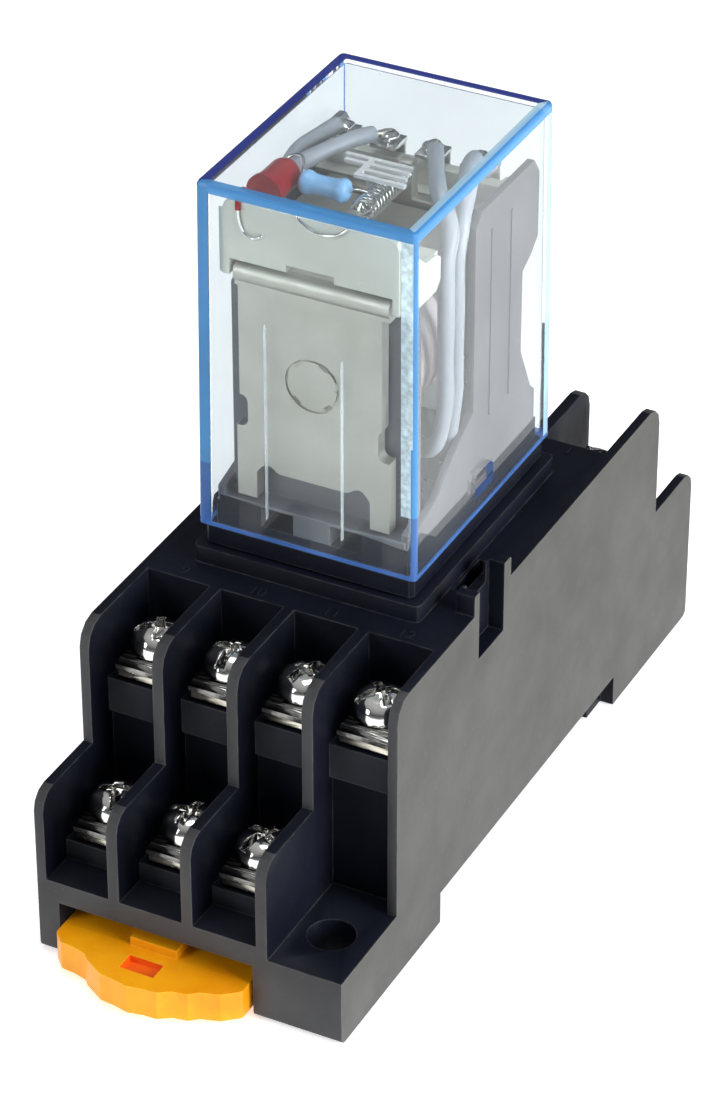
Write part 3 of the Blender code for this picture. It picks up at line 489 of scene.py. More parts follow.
def flat_patches(mesh):
    """The mesh's flat areas: lists of faces that lie in one plane and touch."""
    spots = [tuple(round(c / MM, 3) for c in vert.co) for vert in mesh.vertices]
    above = list(range(len(mesh.polygons)))

    def root(index):
        while above[index] != index:
            index = above[index]
        return index

    edges = {}
    for face in mesh.polygons:
        plane = tuple(round(c, 2) for c in face.normal)
        corners = [spots[v] for v in face.vertices]
        for a, b in zip(corners, corners[1:] + corners[:1]):
            other = edges.setdefault((plane, min(a, b), max(a, b)), face.index)
            above[root(face.index)] = root(other)
    patches = {}
    for face in mesh.polygons:
        patches.setdefault(root(face.index), []).append(face)
    return patches.values()


# The tones that paint light and shade onto the housing's one black plastic.
HOUSING_PAINTED_TONES = ("deck", "front", "side", "block")
DECK, FRONT_END, SIDE, BLOCK = range(4)


def housing_look(spots, normal):
    """The painted tone of a flat area, lighter or darker for the light or shade it stands for, from its
    corners and where it faces.
    """
    xs, ys = [abs(s.x) for s in spots], [abs(s.y) for s in spots]
    wide = max(s.x for s in spots) - min(s.x for s in spots)
    top = max(s.z for s in spots)
    drop = HOUSE_HI.z - top
    if abs(normal.x) > 0.9 and max(xs) > HOUSE_HI.x - 0.6 and normal.x * spots[0].x > 0:
        return SIDE
    in_hole_x = HOLE_X - HOLE_R < min(xs) and max(xs) < HOLE_X + HOLE_R
    in_hole_y = HOLE_Y - HOLE_R < min(ys) and max(ys) < HOLE_Y + HOLE_R
    if normal.y * spots[0].y <= 0 or in_hole_x and in_hole_y and top < 5:
        return DECK
    upright = abs(normal.y) > 0.75
    rim = abs(normal.y) > 0.2 and wide < 1.5 and min(ys) > 19
    if rim or upright and max(ys) > HOUSE_HI.y - 0.7:
        return FRONT_END
    under_screw = min(abs(drop - block) for block in BLOCK_DROPS) < 0.5
    return BLOCK if upright and min(ys) > 22 and under_screw else DECK


def dress_housing():
    """One black plastic in four painted tones: the outer sides painted light grey, the rims and ends satin,
    the block faces under the screws painted a little lighter, and everything that looks up or lies inside
    painted near black as shade.
    """
    obj = soften_node("socket_housing", 0.16, MATERIALS["deck"])
    dress(obj, *[MATERIALS[name] for name in HOUSING_PAINTED_TONES])
    for patch in flat_patches(obj.data):
        spots = [obj.data.vertices[v].co / MM for face in patch for v in face.vertices]
        look = housing_look(spots, patch[0].normal)
        for face in patch:
            face.material_index = look


def dress_socket():
    dress_housing()
    soften_node("socket_base", 0.2, MATERIALS["front"])
    for name in NODES:
        if name.startswith("socket_contact_"):
            soften_node(name, 0.06, MATERIALS["strip"], 1)


def make_numerals():
    """Plain cell numbers raised on the deck at both ends of the relay."""
    deck = HOUSE_HI.z - DECK_DROP
    for index in range(8):
        turned = index < 4
        curve = bpy.data.curves.new("numeral", "FONT")
        curve.body = str(index + 1 if turned else index + 5)
        curve.size, curve.extrude = 1.7 * MM, 0.04 * MM
        curve.align_x, curve.align_y = "CENTER", "CENTER"
        text = link(bpy.data.objects.new("numeral", curve))
        graph = bpy.context.evaluated_depsgraph_get()
        mesh = bpy.data.meshes.new_from_object(text.evaluated_get(graph))
        bpy.data.objects.remove(text)
        numeral = link(bpy.data.objects.new(f"cell_numeral_{index + 1:02d}", mesh))
        side = -1 if turned else 1
        x = side * (index % 4 - 1.5) * CELL_PITCH
        numeral.location = Vector((x, -side * NUMERAL_Y, deck)) * MM
        numeral.rotation_euler.z = math.pi if turned else 0.0
        dress(numeral, MATERIALS["numeral"])
        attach(numeral, "socket")


# ---------------------------------------------------------------- terminals

PLATE_FRONT, PLATE_BACK, PLATE_HALF = 3.8, 3.1, 2.5
PLATE_LIFT = 3.7
THREAD_TURNS, THREAD_PITCH = 9, 0.42


def screw_head_mesh():
    """A worn pan head with a cross and a slot, and its thread."""
    profile = [
        (0, 3.14), (0.8, 3.11), (1.5, 2.98), (2.1, 2.68), (2.5, 2.28), (2.68, 1.9), (2.74, 1.5),
        (2.74, 1.05), (2.6, 0.85), (1.5, 0.8), (1.5, 0.3),
    ]
    for turn in range(THREAD_TURNS):
        top = 0.2 - turn * THREAD_PITCH
        profile += [(1.5, top), (1.22, top - 0.2)]
    profile += [(0, -3.65)]
    bm = bmesh.new()
    lathe(bm, profile, 48)
    for vert in bm.verts:
        if vert.co.z > 1.2:
            vert.co.z += 0.11 * noise.noise(vert.co * 0.9) - 0.03
            vert.co.xy *= 1 - 0.03 * (1 + noise.noise(vert.co * 1.3))
    screw = finish_mesh(bm, "screw")
    cross = [((-1.8, -0.42, 1.6), (1.8, 0.42, 4)), ((-0.42, -1.8, 1.6), (0.42, 1.8, 4))]
    slot = ((-3, -0.42, 2.2), (3, 0.42, 4))
    for lo, hi in (*cross, slot):
        bm = bmesh.new()
        add_box(bm, lo, hi)
        cut(screw, finish_mesh(bm, "tool"))
    bevelled(screw, 0.09, 2, 35)
    applied(screw)
    smoothed(screw, 40)
    dress(screw, MATERIALS["chrome"])
    mesh = screw.data
    bpy.data.objects.remove(screw)
    return mesh


def clamp_plate_mesh():
    """A square washer with slanting ridges across it."""
    bm = bmesh.new()
    ridges = 12
    outline = [(PLATE_BACK, 0.0), (PLATE_BACK, 0.5)]
    for index in range(ridges):
        y = PLATE_BACK - 0.15 - index * (PLATE_FRONT + PLATE_BACK - 0.3) / ridges
        outline += [(y, 0.72), (y - 0.25, 0.56)]
    outline += [(-PLATE_FRONT, 0.5), (-PLATE_FRONT, 0.0)]
    add_prism(bm, outline, "x", -PLATE_HALF, PLATE_HALF)
    for vert in bm.verts:
        if 0.1 < vert.co.z and abs(vert.co.y) < PLATE_BACK - 0.2:
            vert.co.y += 0.09 * vert.co.x
    plate = finish_mesh(bm, "plate")
    bevelled(plate, 0.05, 2, 30)
    applied(plate)
    smoothed(plate, 30)
    dress(plate, MATERIALS["washer"])
    mesh = plate.data
    bpy.data.objects.remove(plate)
    return mesh


def make_terminals():
    """A screw and its clamp plate on each node, each screw stopped at another angle."""
    head, plate = screw_head_mesh(), clamp_plate_mesh()
    for index, node in enumerate(SCREWS):
        lo, hi = mm_box(node)
        near = lo.y < 0
        y = lo.y + PLATE_FRONT if near else hi.y - PLATE_FRONT
        place = Vector(((lo.x + hi.x) / 2, y, lo.z + PLATE_LIFT))
        body = node.replace("terminal_", "")
        screw = link(bpy.data.objects.new(f"{node}_head", head))
        screw.location = place * MM
        screw.rotation_euler.z = math.radians(23 + 67 * index)
        washer = link(bpy.data.objects.new(f"{node}_plate", plate))
        washer.location = place * MM
        washer.rotation_euler.z = 0.0 if near else math.pi
        for piece in (screw, washer):
            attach(piece, body)
            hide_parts(node)


# ---------------------------------------------------------------- rail clip

CLIP_LO, CLIP_HI = mm_box("rail_clip")
CLIP_X, TIP_Y = (CLIP_LO.x + CLIP_HI.x) / 2, CLIP_LO.y
CLIP_THICK = 3.0


def clip_edge():
    """The clip from above, with a scalloped thumb edge, as places beside its middle and behind its tip."""
    places = [
        (-9.4, 24.5), (-9.4, 3.9), (-8.3, 2.8), (-6.9, 2.65), (-5.6, 2.3), (-5.0, 1.7), (-3.0, 0.5),
        (-1.6, 0.35), (-0.1, 0.04), (1.4, 0.35), (2.7, 0.4), (3.9, 1.2), (5.3, 1.45), (6.1, 2.15),
        (7.9, 2.7), (9.4, 4.0), (9.4, 24.5),
    ]
    points = [(CLIP_X + across, TIP_Y + behind) for across, behind in places]
    return rounded(points, {1: 0.5, 2: 0.45, 4: 0.3, 6: 0.7, 8: 0.7, 10: 0.6, 12: 0.4, 14: 0.5, 15: 0.5}, 3)


def clip_box(across, behind, low, high):
    """A tool for the clip, placed like the points of its edge."""
    bm = bmesh.new()
    add_box(bm, (CLIP_X + across[0], TIP_Y + behind[0], low), (CLIP_X + across[1], TIP_Y + behind[1], high))
    return finish_mesh(bm, "tool")


def make_clip():
    """The slide with its back lip, its two guides, a finger ridge, two windows and a tool pocket."""
    low, top = CLIP_LO.z, CLIP_LO.z + CLIP_THICK
    bm = bmesh.new()
    add_prism(bm, clip_edge(), "z", low, top)
    clip = finish_mesh(bm, "rail_clip_moulding")
    cut(clip, clip_box((-7.7, 7.7), (23.9, 26.5), low, low + 1.3), "UNION")
    for guide in ((-10.3, -8.9), (8.9, 10.3)):
        cut(clip, clip_box(guide, (10.9, 23.4), low + 1.0, low + 2.0), "UNION")
    cut(clip, clip_box((-2.6, 2.1), (5.3, 16.9), top - 0.4, top + 0.9), "UNION")
    for window in ((-6.9, -3.6), (3.6, 6.9)):
        cut(clip, clip_box(window, (8.9, 21.4), low - 1, top + 1))
    cut(clip, clip_box((-1.9, 1.5), (2.1, 4.0), low + 2.3, top + 1))
    bevelled(clip, 0.42, 4, 40)
    smoothed(clip, 50)
    dress(clip, MATERIALS["orange"], MATERIALS["pocket"])
    # Painted shade: the faces inside the tool pocket take the deeper red-orange.
    for face in clip.data.polygons:
        across, behind, height = face.center / MM - Vector((CLIP_X, TIP_Y, low))
        if -2.3 < across < 1.9 and 1.7 < behind < 4.2 and 0.5 < height < CLIP_THICK - 0.1:
            face.material_index = 1
    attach(clip, "clip")
    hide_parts("rail_clip")


# ---------------------------------------------------------------- relay cover

BACK, LEFT, FRONT, RIGHT = range(4)


def cover_ring(bm, x0, x1, y0, y1, z, radius, bands):
    """A rounded rectangle from the right side round by the back; bands has the widths before and after
    each corner, in the order back right, back left, front left, front right."""
    points = []
    corners = ((x1, y1, 1, 1), (x0, y1, -1, 1), (x0, y0, -1, -1), (x1, y0, 1, -1))
    arc = [(math.cos(math.pi * k / 8), math.sin(math.pi * k / 8)) for k in range(16)]
    for quarter, (x, y, sx, sy) in enumerate(corners):
        before, after = bands[quarter]
        along_y = quarter % 2 == 0
        points.append((x, y - sy * before) if along_y else (x - sx * before, y))
        for step in range(5):
            u, v = arc[(4 * quarter + step) % 16]
            points.append((x + radius * (u - sx), y + radius * (v - sy)))
        points.append((x - sx * after, y) if along_y else (x, y - sy * after))
    return [bm.verts.new((u, v, z)) for u, v in points]


def bridge(bm, upper, lower, pick):
    """Faces between two rings; pick gives a face's material, clear or a painted edge band, from its side,
    its corner
    and its part of it: 0 and 5 are the bands beside the corner, 1 to 4 its rounding, and 6 the plain wall
    after it."""
    count = len(upper)
    for index in range(count):
        after = (index + 1) % count
        quarter, part = divmod(index, 7)
        side = ((RIGHT, BACK, LEFT, FRONT) if part < 3 else (BACK, LEFT, FRONT, RIGHT))[quarter]
        face = bm.faces.new((upper[index], upper[after], lower[after], lower[index]))
        face.material_index = pick(side, quarter, part)


# The cover's materials: clear panel and top, and edge bands of painted reflection.
COVER_CLEAR_AND_PAINTED_EDGES = ("panel", "sky", "deep", "navy", "frost", "haze", "pale")
PANEL, SKY_EDGE, DEEP_EDGE, NAVY_EDGE, FROST_EDGE, HAZE, PALE_EDGE = range(7)
X_LOW, Y_LOW = (COVER_HI.x - COVER_LO.x) / 2, (COVER_HI.y - COVER_LO.y) / 2
COVER_TALL = COVER_HI.z - COVER_LO.z
COVER_DRAFT, COVER_WALL = 0.27, 0.85
CORNER_BANDS = ((1.3, 0.9), (0.9, 0.5), (0.5, 1.25), (1.4, 0.5))
TOP_LEFT, TOP_RIGHT, TOP_FRONT, TOP_BACK = 1.1, 1.0, 0.75, 1.2


def wall_ring(bm, z, inset, radius, bands):
    """A ring round the cover's walls, which lean in by the draft."""
    lean = COVER_DRAFT * z / COVER_TALL + inset
    return cover_ring(bm, -X_LOW + lean, X_LOW - lean, -Y_LOW + lean, Y_LOW - lean, z, radius, bands)


# Painted reflection on the rim: navy on the left and back, sky blue on the front and right.
def rim_look(side, *_):
    return NAVY_EDGE if side in (LEFT, BACK) else SKY_EDGE


def wall_look(height):
    """Which painted edge band or clear panel the outside gets between one level and the next: 0 is the lip,
    4 to 7 the rim.
    """
    def pick(side, quarter, part):
        if height == 0:
            return DEEP_EDGE
        if height >= 4:
            return PALE_EDGE if side == RIGHT and height == 7 else rim_look(side)
        if part == 6 or (quarter == 1 and part not in (2, 3)):
            return PANEL
        if side == BACK and part == 5 or quarter == 3 and part == 0 and height < 2:
            return PANEL
        if quarter == 0 and part == 0:
            return PALE_EDGE
        return DEEP_EDGE if height < 2 else SKY_EDGE
    return pick


def cover_mesh():
    """The cover's outside with painted reflection in bands on its corners and rim, and its inside."""
    bm = bmesh.new()
    lip, low_band_top, mid_band_top = 0.4, 6.5, 13.5
    levels = [0.0, lip, low_band_top, mid_band_top, COVER_TALL - 0.95, COVER_TALL - 0.35]
    rings = [wall_ring(bm, z, 0.0, 0.45, CORNER_BANDS) for z in levels]
    rings.append(wall_ring(bm, COVER_TALL - 0.1, 0.1, 0.45, CORNER_BANDS))
    rings.append(wall_ring(bm, COVER_TALL, 0.35, 0.3, CORNER_BANDS))
    x_top, y_top = X_LOW - COVER_DRAFT, Y_LOW - COVER_DRAFT
    rings.append(cover_ring(bm, -x_top + TOP_LEFT, x_top - TOP_RIGHT, -y_top + TOP_FRONT, y_top - TOP_BACK,
                            COVER_TALL, 0.2, ((0.3, 0.3),) * 4))
    for index, (lower, upper) in enumerate(zip(rings, rings[1:])):
        bridge(bm, upper, lower, wall_look(index))
    bm.faces.new(rings[-1]).material_index = HAZE
    ceiling = COVER_TALL - COVER_WALL
    inside = [wall_ring(bm, z, COVER_WALL + inset, radius, ((0.4, 0.4),) * 4)
              for z, inset, radius in ((0.0, 0.0, 0.3), (ceiling - 0.2, 0.0, 0.3), (ceiling, 0.2, 0.2))]
    bridge(bm, inside[1], inside[0], lambda *_: PANEL)
    bridge(bm, inside[2], inside[1], rim_look)
    bm.faces.new(inside[-1]).material_index = PANEL
    bridge(bm, rings[0], inside[0], lambda *_: DEEP_EDGE)
    # A paler, rougher band up the front right corner: painted reflection on a rougher surface.
    for face in bm.faces:
        middle = face.calc_center_median()
        if face.material_index in (SKY_EDGE, DEEP_EDGE) and low_band_top < middle.z < COVER_TALL - 1.0:
            if middle.y < -Y_LOW + 0.6 and X_LOW - 1.8 < middle.x < X_LOW - 0.5:
                face.material_index = FROST_EDGE
    return bm


def make_cover():
    """The shell with a snap window low on each side."""
    cover = finish_mesh(cover_mesh(), "relay_cover_shell")
    looks = [face.material_index for face in cover.data.polygons]
    dress(cover, *[MATERIALS[name] for name in COVER_CLEAR_AND_PAINTED_EDGES])
    cover.data.polygons.foreach_set("material_index", looks)
    cover.location = RELAY * MM
    for side in (-1, 1):
        tool_bm = bmesh.new()
        window = rounded([(-1.9, 1.7), (1.9, 1.7), (1.9, 4.1), (-1.9, 4.1)], {2: 0.7, 3: 0.7})
        low, high = sorted((side * (X_LOW - 1.6), side * (X_LOW + 1)))
        add_prism(tool_bm, window, "x", low, high)
        tool = finish_mesh(tool_bm, "tool")
        tool.location = RELAY * MM
        dress(tool, MATERIALS[COVER_CLEAR_AND_PAINTED_EDGES[PANEL]])
        cut(cover, tool)
    smoothed(cover, 20)
    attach(cover, "relay")
    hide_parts("relay_cover")


def make_ribs():
    """Two thin moulding ribs on the inside of the cover's front."""
    bm = bmesh.new()
    for x, top in ((-4.25, 21.7), (3.25, 20.0)):
        add_box(bm, (x - 0.06, -13.1, 1.8), (x + 0.06, -12.75, top))
    ribs = finish_mesh(bm, "relay_cover_ribs")
    ribs.location = RELAY * MM
    dress(ribs, MATERIALS["rib"])
    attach(ribs, "relay")


# ---------------------------------------------------------------- relay inside

COIL_Z = 16.3
YOKE_HALF = 7.5


def lying(x, y, z):
    """Lays what is turned round Z along Y, its top end away from the front."""
    return Matrix.Translation((x, y, z)) @ Matrix.Rotation(-math.pi / 2, 4, "X")


def on_relay(obj, material, node=None, body="relay"):
    """Puts a piece drawn in the relay's own frame in its place and gives it its finish."""
    obj.location = RELAY * MM
    dress(obj, MATERIALS[material])
    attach(obj, body)
    if node:
        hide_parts(node)
    return obj


def yoke_additions():
    """The core, the rolled edge along the bend and the post for the spring."""
    core, bead, post = bmesh.new(), bmesh.new(), bmesh.new()
    profile = [(0, 1.7), (3.2, 1.7), (3.2, 1.15), (2.5, 1.15), (2.5, -12.15), (0, -12.15)]
    lathe(core, profile, 40, lying(0, 0, COIL_Z))
    ring = [(math.cos(math.pi * k / 12), math.sin(math.pi * k / 12)) for k in range(24)]
    add_prism(bead, [(-11.52 + u, 25.75 + v) for u, v in ring], "x", -YOKE_HALF, YOKE_HALF)
    upright = [(0.5, 26.4), (1.9, 26.4), (1.9, 30.7), (0.5, 30.7)]
    add_prism(post, rounded(upright, {2: 0.4, 3: 0.4}), "y", -7.1, -6.4)
    return core, bead, post


def yoke_outline_cuts():
    """The arch between the feet, the narrow flanks and a notch in each edge."""
    arch = bmesh.new()
    opening = [(-5.6, 2.0), (5.6, 2.0), (5.6, 6.0), (4.6, 7.2),
               (3.4, 6.3), (-3.4, 6.3), (-4.6, 7.2), (-5.6, 6.0)]
    add_prism(arch, rounded(opening, {2: 0.5, 3: 0.8, 4: 0.6, 5: 0.6, 6: 0.8, 7: 0.5}), "y", -14, -10)
    tools = [arch]
    for side, edge in ((1, 6.75), (-1, 7.2)):
        flank = bmesh.new()
        first, last = sorted((side * edge, side * 8.0))
        add_box(flank, (first, -14, 12.0), (last, -10.7, 24.6))
        tools.append(flank)
    for side in (-1, 1):
        notch = bmesh.new()
        outline = [(8.5, 10.4), (6.4, 10.4), (6.4, 13.6), (8.5, 13.6)]
        add_prism(notch, rounded([(side * u, v) for u, v in outline], {1: 0.7, 2: 0.7}), "y", -14, -10)
        tools.append(notch)
    return tools


def stake_groove(sides=40):
    """The ring pressed into the yoke round the core's end."""
    groove = bmesh.new()
    turns = [2 * math.pi * step / sides for step in range(sides)]
    loops = []
    for radius, y in ((2.68, -12.4), (2.68, -12.0), (2.4, -12.0), (2.4, -12.4)):
        spots = [(radius * math.cos(a), y, COIL_Z + radius * math.sin(a)) for a in turns]
        loops.append([groove.verts.new(spot) for spot in spots])
    for first, second in zip(loops, loops[1:] + loops[:1]):
        for step in range(sides):
            after = (step + 1) % sides
            groove.faces.new((first[step], first[after], second[after], second[step]))
    return groove


def stake_mark(angle):
    """A wedge of the punch that spreads the core's end."""
    mark = bmesh.new()
    turn = Matrix.Translation((0, 0, COIL_Z)) @ Matrix.Rotation(math.radians(-angle), 4, "Y")
    wedge = ((2.0, -12.3, -0.5), (2.75, -12.3, -0.5), (2.75, -12.3, 0.5), (2.0, -12.3, 0.5),
             (2.5, -11.9, -0.35), (2.5, -11.9, 0.35))
    verts = [mark.verts.new(turn @ Vector(corner)) for corner in wedge]
    for corners in ((0, 1, 2, 3), (0, 4, 5, 3), (1, 4, 5, 2), (0, 1, 4), (3, 2, 5)):
        mark.faces.new([verts[c] for c in corners])
    return mark


def make_yoke():
    """The bent bracket with all that is joined to it and cut from it."""
    bm = bmesh.new()
    outline = [(-12.2, 3.2), (-12.2, 26.9), (2.45, 26.9), (2.45, 25.6), (-10.9, 25.6), (-10.9, 3.2)]
    add_prism(bm, rounded(outline, {1: 1.5, 4: 0.4}, 6), "x", -YOKE_HALF, YOKE_HALF)
    yoke = finish_mesh(bm, "yoke_bracket")
    for tool in yoke_additions():
        cut(yoke, finish_mesh(tool, "tool"), "UNION")
    marks = [stake_mark(angle) for angle in (62, 12, -52, 128, -130)]
    for tool in (*yoke_outline_cuts(), stake_groove(), *marks):
        cut(yoke, finish_mesh(tool, "tool"))
    bevelled(yoke, 0.1, 2, 30)
    smoothed(yoke, 35)
    on_relay(yoke, "yoke", "yoke")


def make_comb():
    """The bright leaf over the return spring: a spine on a leg, four fingers one way and two the other."""
    left, right, finger = -1.0, -0.5, 0.45
    outline = [(left, -2.6)]
    for y, reach, following in ((-2.6, 3.9, -1.55), (-1.55, 3.5, -0.5), (-0.5, 3.3, 0.45)):
        outline += [(reach, y), (reach, y + finger), (right, y + finger), (right, following)]
    outline += [(3.1, 0.45), (3.1, 0.9), (-3.4, 0.9), (-3.4, 0.45), (left, 0.45), (left, -0.05)]
    outline += [(-3.0, -0.05), (-3.0, -0.5), (left, -0.5)]
    bm = bmesh.new()
    add_prism(bm, outline, "z", 31.5, 31.85)
    comb = finish_mesh(bm, "retaining_comb")
    bm = bmesh.new()
    add_box(bm, (-0.9, -0.45, 26.7), (-0.6, 0.35, 31.7))
    cut(comb, finish_mesh(bm, "tool"), "UNION")
    bevelled(comb, 0.1, 3, 30)
    smoothed(comb, 50)
    on_relay(comb, "leaf", "yoke")


def make_winding():
    """Tape over even turns, so that the turns show through as ridges."""
    turns, length, radius, ridge = 26, 8.0, 6.75, 0.045
    profile = [(3.6, -0.25), (6.5, -0.25)]
    for index in range(turns * 4 + 1):
        share = index / (turns * 4)
        swell = 0.2 * math.sin(math.pi * share) ** 0.5
        profile.append((radius + swell + ridge * math.cos(math.pi * index / 2), -0.3 - share * length))
    profile += [(6.5, -8.35), (3.6, -8.35), (3.6, -0.25)]
    bm = bmesh.new()
    lathe(bm, profile, 56, lying(0, 0, COIL_Z))
    bmesh.ops.remove_doubles(bm, verts=bm.verts, dist=1e-5)
    on_relay(smoothed(finish_mesh(bm, "coil_winding_turns"), 60), "tape", "coil_winding")


def make_indicator():
    """The red lamp with its round nose and its rim."""
    radius = 1.5
    turns = [math.pi / 2 * k / 8 for k in range(9)]
    nose = [(radius * math.sin(turn), 1.0 + radius * math.cos(turn)) for turn in turns]
    bm = bmesh.new()
    lathe(bm, [*nose, (radius, -2.1), (1.7, -2.2), (1.7, -2.65), (0, -2.7)], 32, lying(-6.9, -5.4, 31.2))
    on_relay(smoothed(finish_mesh(bm, "indicator_lens"), 40), "lens", "indicator_led")


def make_resistor():
    """A small resistor across the relay, thicker at its ends."""
    along = Matrix.Translation((-2.6, -4.8, 31.3)) @ Matrix.Rotation(math.pi / 2, 4, "Y")
    half = [(0, 2.4), (0.55, 2.36), (0.95, 2.15), (1.12, 1.85), (1.1, 1.5), (0.95, 1.15), (0.9, 0.75)]
    bm = bmesh.new()
    lathe(bm, [*half, (0.9, 0.0)] + [(r, -z) for r, z in reversed(half)], 28, along)
    on_relay(smoothed(finish_mesh(bm, "resistor_body"), 40), "blue", "led_resistor")


LAMP_LEADS = (
    (0.14, [(-7.3, -8.0, 31.2), (-7.2, -9.6, 31.6), (-7.0, -11.4, 33.1), (-6.9, -12.3, 33.2),
            (-6.8, -12.64, 32.6), (-6.7, -12.66, 31.2), (-6.3, -12.66, 30.2), (-5.5, -12.66, 29.8),
            (-4.7, -12.66, 30.1), (-4.6, -12.4, 30.3)]),
    (0.14, [(-0.3, -4.8, 31.3), (0.4, -4.9, 31.8), (2.2, -5.2, 31.9), (3.5, -7.6, 32.1),
            (3.9, -10.8, 33.0), (3.8, -12.2, 33.2), (3.4, -12.64, 32.7), (2.2, -12.66, 32.0),
            (0.6, -12.66, 31.9), (-0.9, -12.6, 32.6), (-1.3, -12.1, 33.2), (-2.0, -10.6, 32.6),
            (-3.6, -9.2, 31.6), (-6.3, -8.6, 31.2), (-6.5, -8.0, 31.2)]),
    (0.16, [(-4.9, -4.8, 31.3), (-5.3, -3.6, 31.9), (-6.2, -2.4, 32.3), (-7.6, -2.3, 31.6),
            (-8.3, -3.6, 30.0), (-8.2, -6.0, 29.1)]),
)


def make_lamp_leads():
    """Bare wires from the lamp and the resistor; the first has a red sleeve over its upper end."""
    for index, (radius, path) in enumerate(LAMP_LEADS, 1):
        bm = bmesh.new()
        sweep(bm, smooth_path(path), radius, 10)
        on_relay(smoothed(finish_mesh(bm, f"indicator_lead_{index}"), 60), "chrome")
    bm = bmesh.new()
    sweep(bm, smooth_path(LAMP_LEADS[0][1][:6])[4:-6], 0.27, 12)
    on_relay(smoothed(finish_mesh(bm, "indicator_lead_sleeve"), 60), "lens")


def make_spring():
    """The tension spring from the yoke's post to the armature's tail, with its end hooks."""
    x, z, start, stop, turns, radius = 1.2, 30.0, -5.6, 2.3, 14, 0.95
    points = [Vector((x, -7.0, z - 0.4)), Vector((x, -6.4, z + 0.2))]
    for index in range(turns * 20 + 1):
        share = index / (turns * 20)
        angle = math.pi / 2 + 2 * math.pi * turns * share
        y = start + (stop - start) * share
        points.append(Vector((x + radius * math.cos(angle), y, z + radius * math.sin(angle))))
    points += [Vector((x, 2.75, z + 0.5)), Vector((x, 3.2, z - 0.3))]
    bm = bmesh.new()
    sweep(bm, points, 0.17, 8)
    spring = smoothed(finish_mesh(bm, "return_spring_coil"), 60)
    spring.location = RELAY * MM
    bpy.context.view_layer.update()
    dress(spring, MATERIALS["chrome"])
    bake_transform(spring)
    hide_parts("return_spring")


COLUMNS = (-6.6, -2.2, 2.2, 6.6)


def lead_path(index):
    """From the lug at the top, forward and down beside the coil, to the blade."""
    side = -1 if index < 2 else 1
    x = abs(COLUMNS[index])
    if index in (0, 3):
        path = [(x, 7.0, 31.2), (x + 0.4, 4.0, 31.5), (8.0, 0.6, 31.0), (8.6, -1.8, 29.0),
                (8.75, -2.9, 26.0), (8.8, -3.0, 18.0), (8.7, -3.0, 12.5), (8.0, -2.6, 8.2),
                (7.2, -2.2, 6.2), (6.6, -1.4, 4.3)]
    else:
        path = [(x, 7.0, 31.2), (x + 1.8, 3.4, 31.7), (6.2, -0.6, 31.2), (8.3, -3.3, 29.6),
                (8.75, -4.9, 26.5), (8.8, -5.0, 18.0), (8.7, -4.9, 12.5), (7.6, -4.8, 8.2),
                (4.6, -3.6, 6.4), (2.2, -1.4, 4.3)]
    return [Vector((side * u, v, w)) for u, v, w in path]


def make_common(index):
    """A common blade with its sleeved lead up to the moving contact, joined into one mesh fixed in place.
    """
    x, y = COLUMNS[index], -1.4
    bm = bmesh.new()
    outline = [(-1.2, -7.9), (-0.6, -8.5), (0.6, -8.5), (1.2, -7.9), (1.2, 4.9), (-1.2, 4.9)]
    add_prism(bm, [(x + u, v) for u, v in outline], "y", y - 0.25, y + 0.25)
    blade = bevelled(finish_mesh(bm, "blade"), 0.07)
    applied(blade)
    bm = bmesh.new()
    path = smooth_path(lead_path(index), 10)
    sweep(bm, path, 0.28, 10)
    sleeve_from = len(bm.faces)
    sweep(bm, path[5:-7], lambda share: 0.74 + 0.03 * math.sin(40 * share), 18)
    bm.faces.ensure_lookup_table()
    for index_of_face, face in enumerate(bm.faces):
        face.material_index = 1 if index_of_face < sleeve_from else 2
    lead = finish_mesh(bm, "lead")
    joined = bmesh.new()
    joined.from_mesh(blade.data)
    joined.from_mesh(lead.data)
    mesh = bpy.data.meshes.new(f"common_{index + 1}")
    joined.to_mesh(mesh)
    joined.free()
    for name in ("silver", "strip", "sleeve"):
        mesh.materials.append(MATERIALS[name])
    for spare in (blade, lead):
        bpy.data.objects.remove(spare)
    common = link(bpy.data.objects.new(f"common_blade_and_lead_{index + 1}", mesh))
    smoothed(common, 40)
    common.location = RELAY * MM
    bpy.context.view_layer.update()
    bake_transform(common)
    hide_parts(f"com_{index + 1}")


def make_solder(index):
    """The soldered joint on a moving contact's lug."""
    bm = bmesh.new()
    bmesh.ops.create_icosphere(bm, subdivisions=4, radius=1.0)
    for vert in bm.verts:
        lump = 1 + 0.10 * math.sin(5 * vert.co.x + index) * math.cos(4 * vert.co.y + 2 * index)
        vert.co = Vector((vert.co.x * 0.95 * lump, vert.co.y * 1.05 * lump, vert.co.z * 0.45 * lump))
    bmesh.ops.translate(bm, verts=bm.verts, vec=(COLUMNS[index], 6.5, 31.0))
    solder = smoothed(finish_mesh(bm, f"lug_solder_{index + 1}"), 60)
    on_relay(solder, "chrome", body="armature")


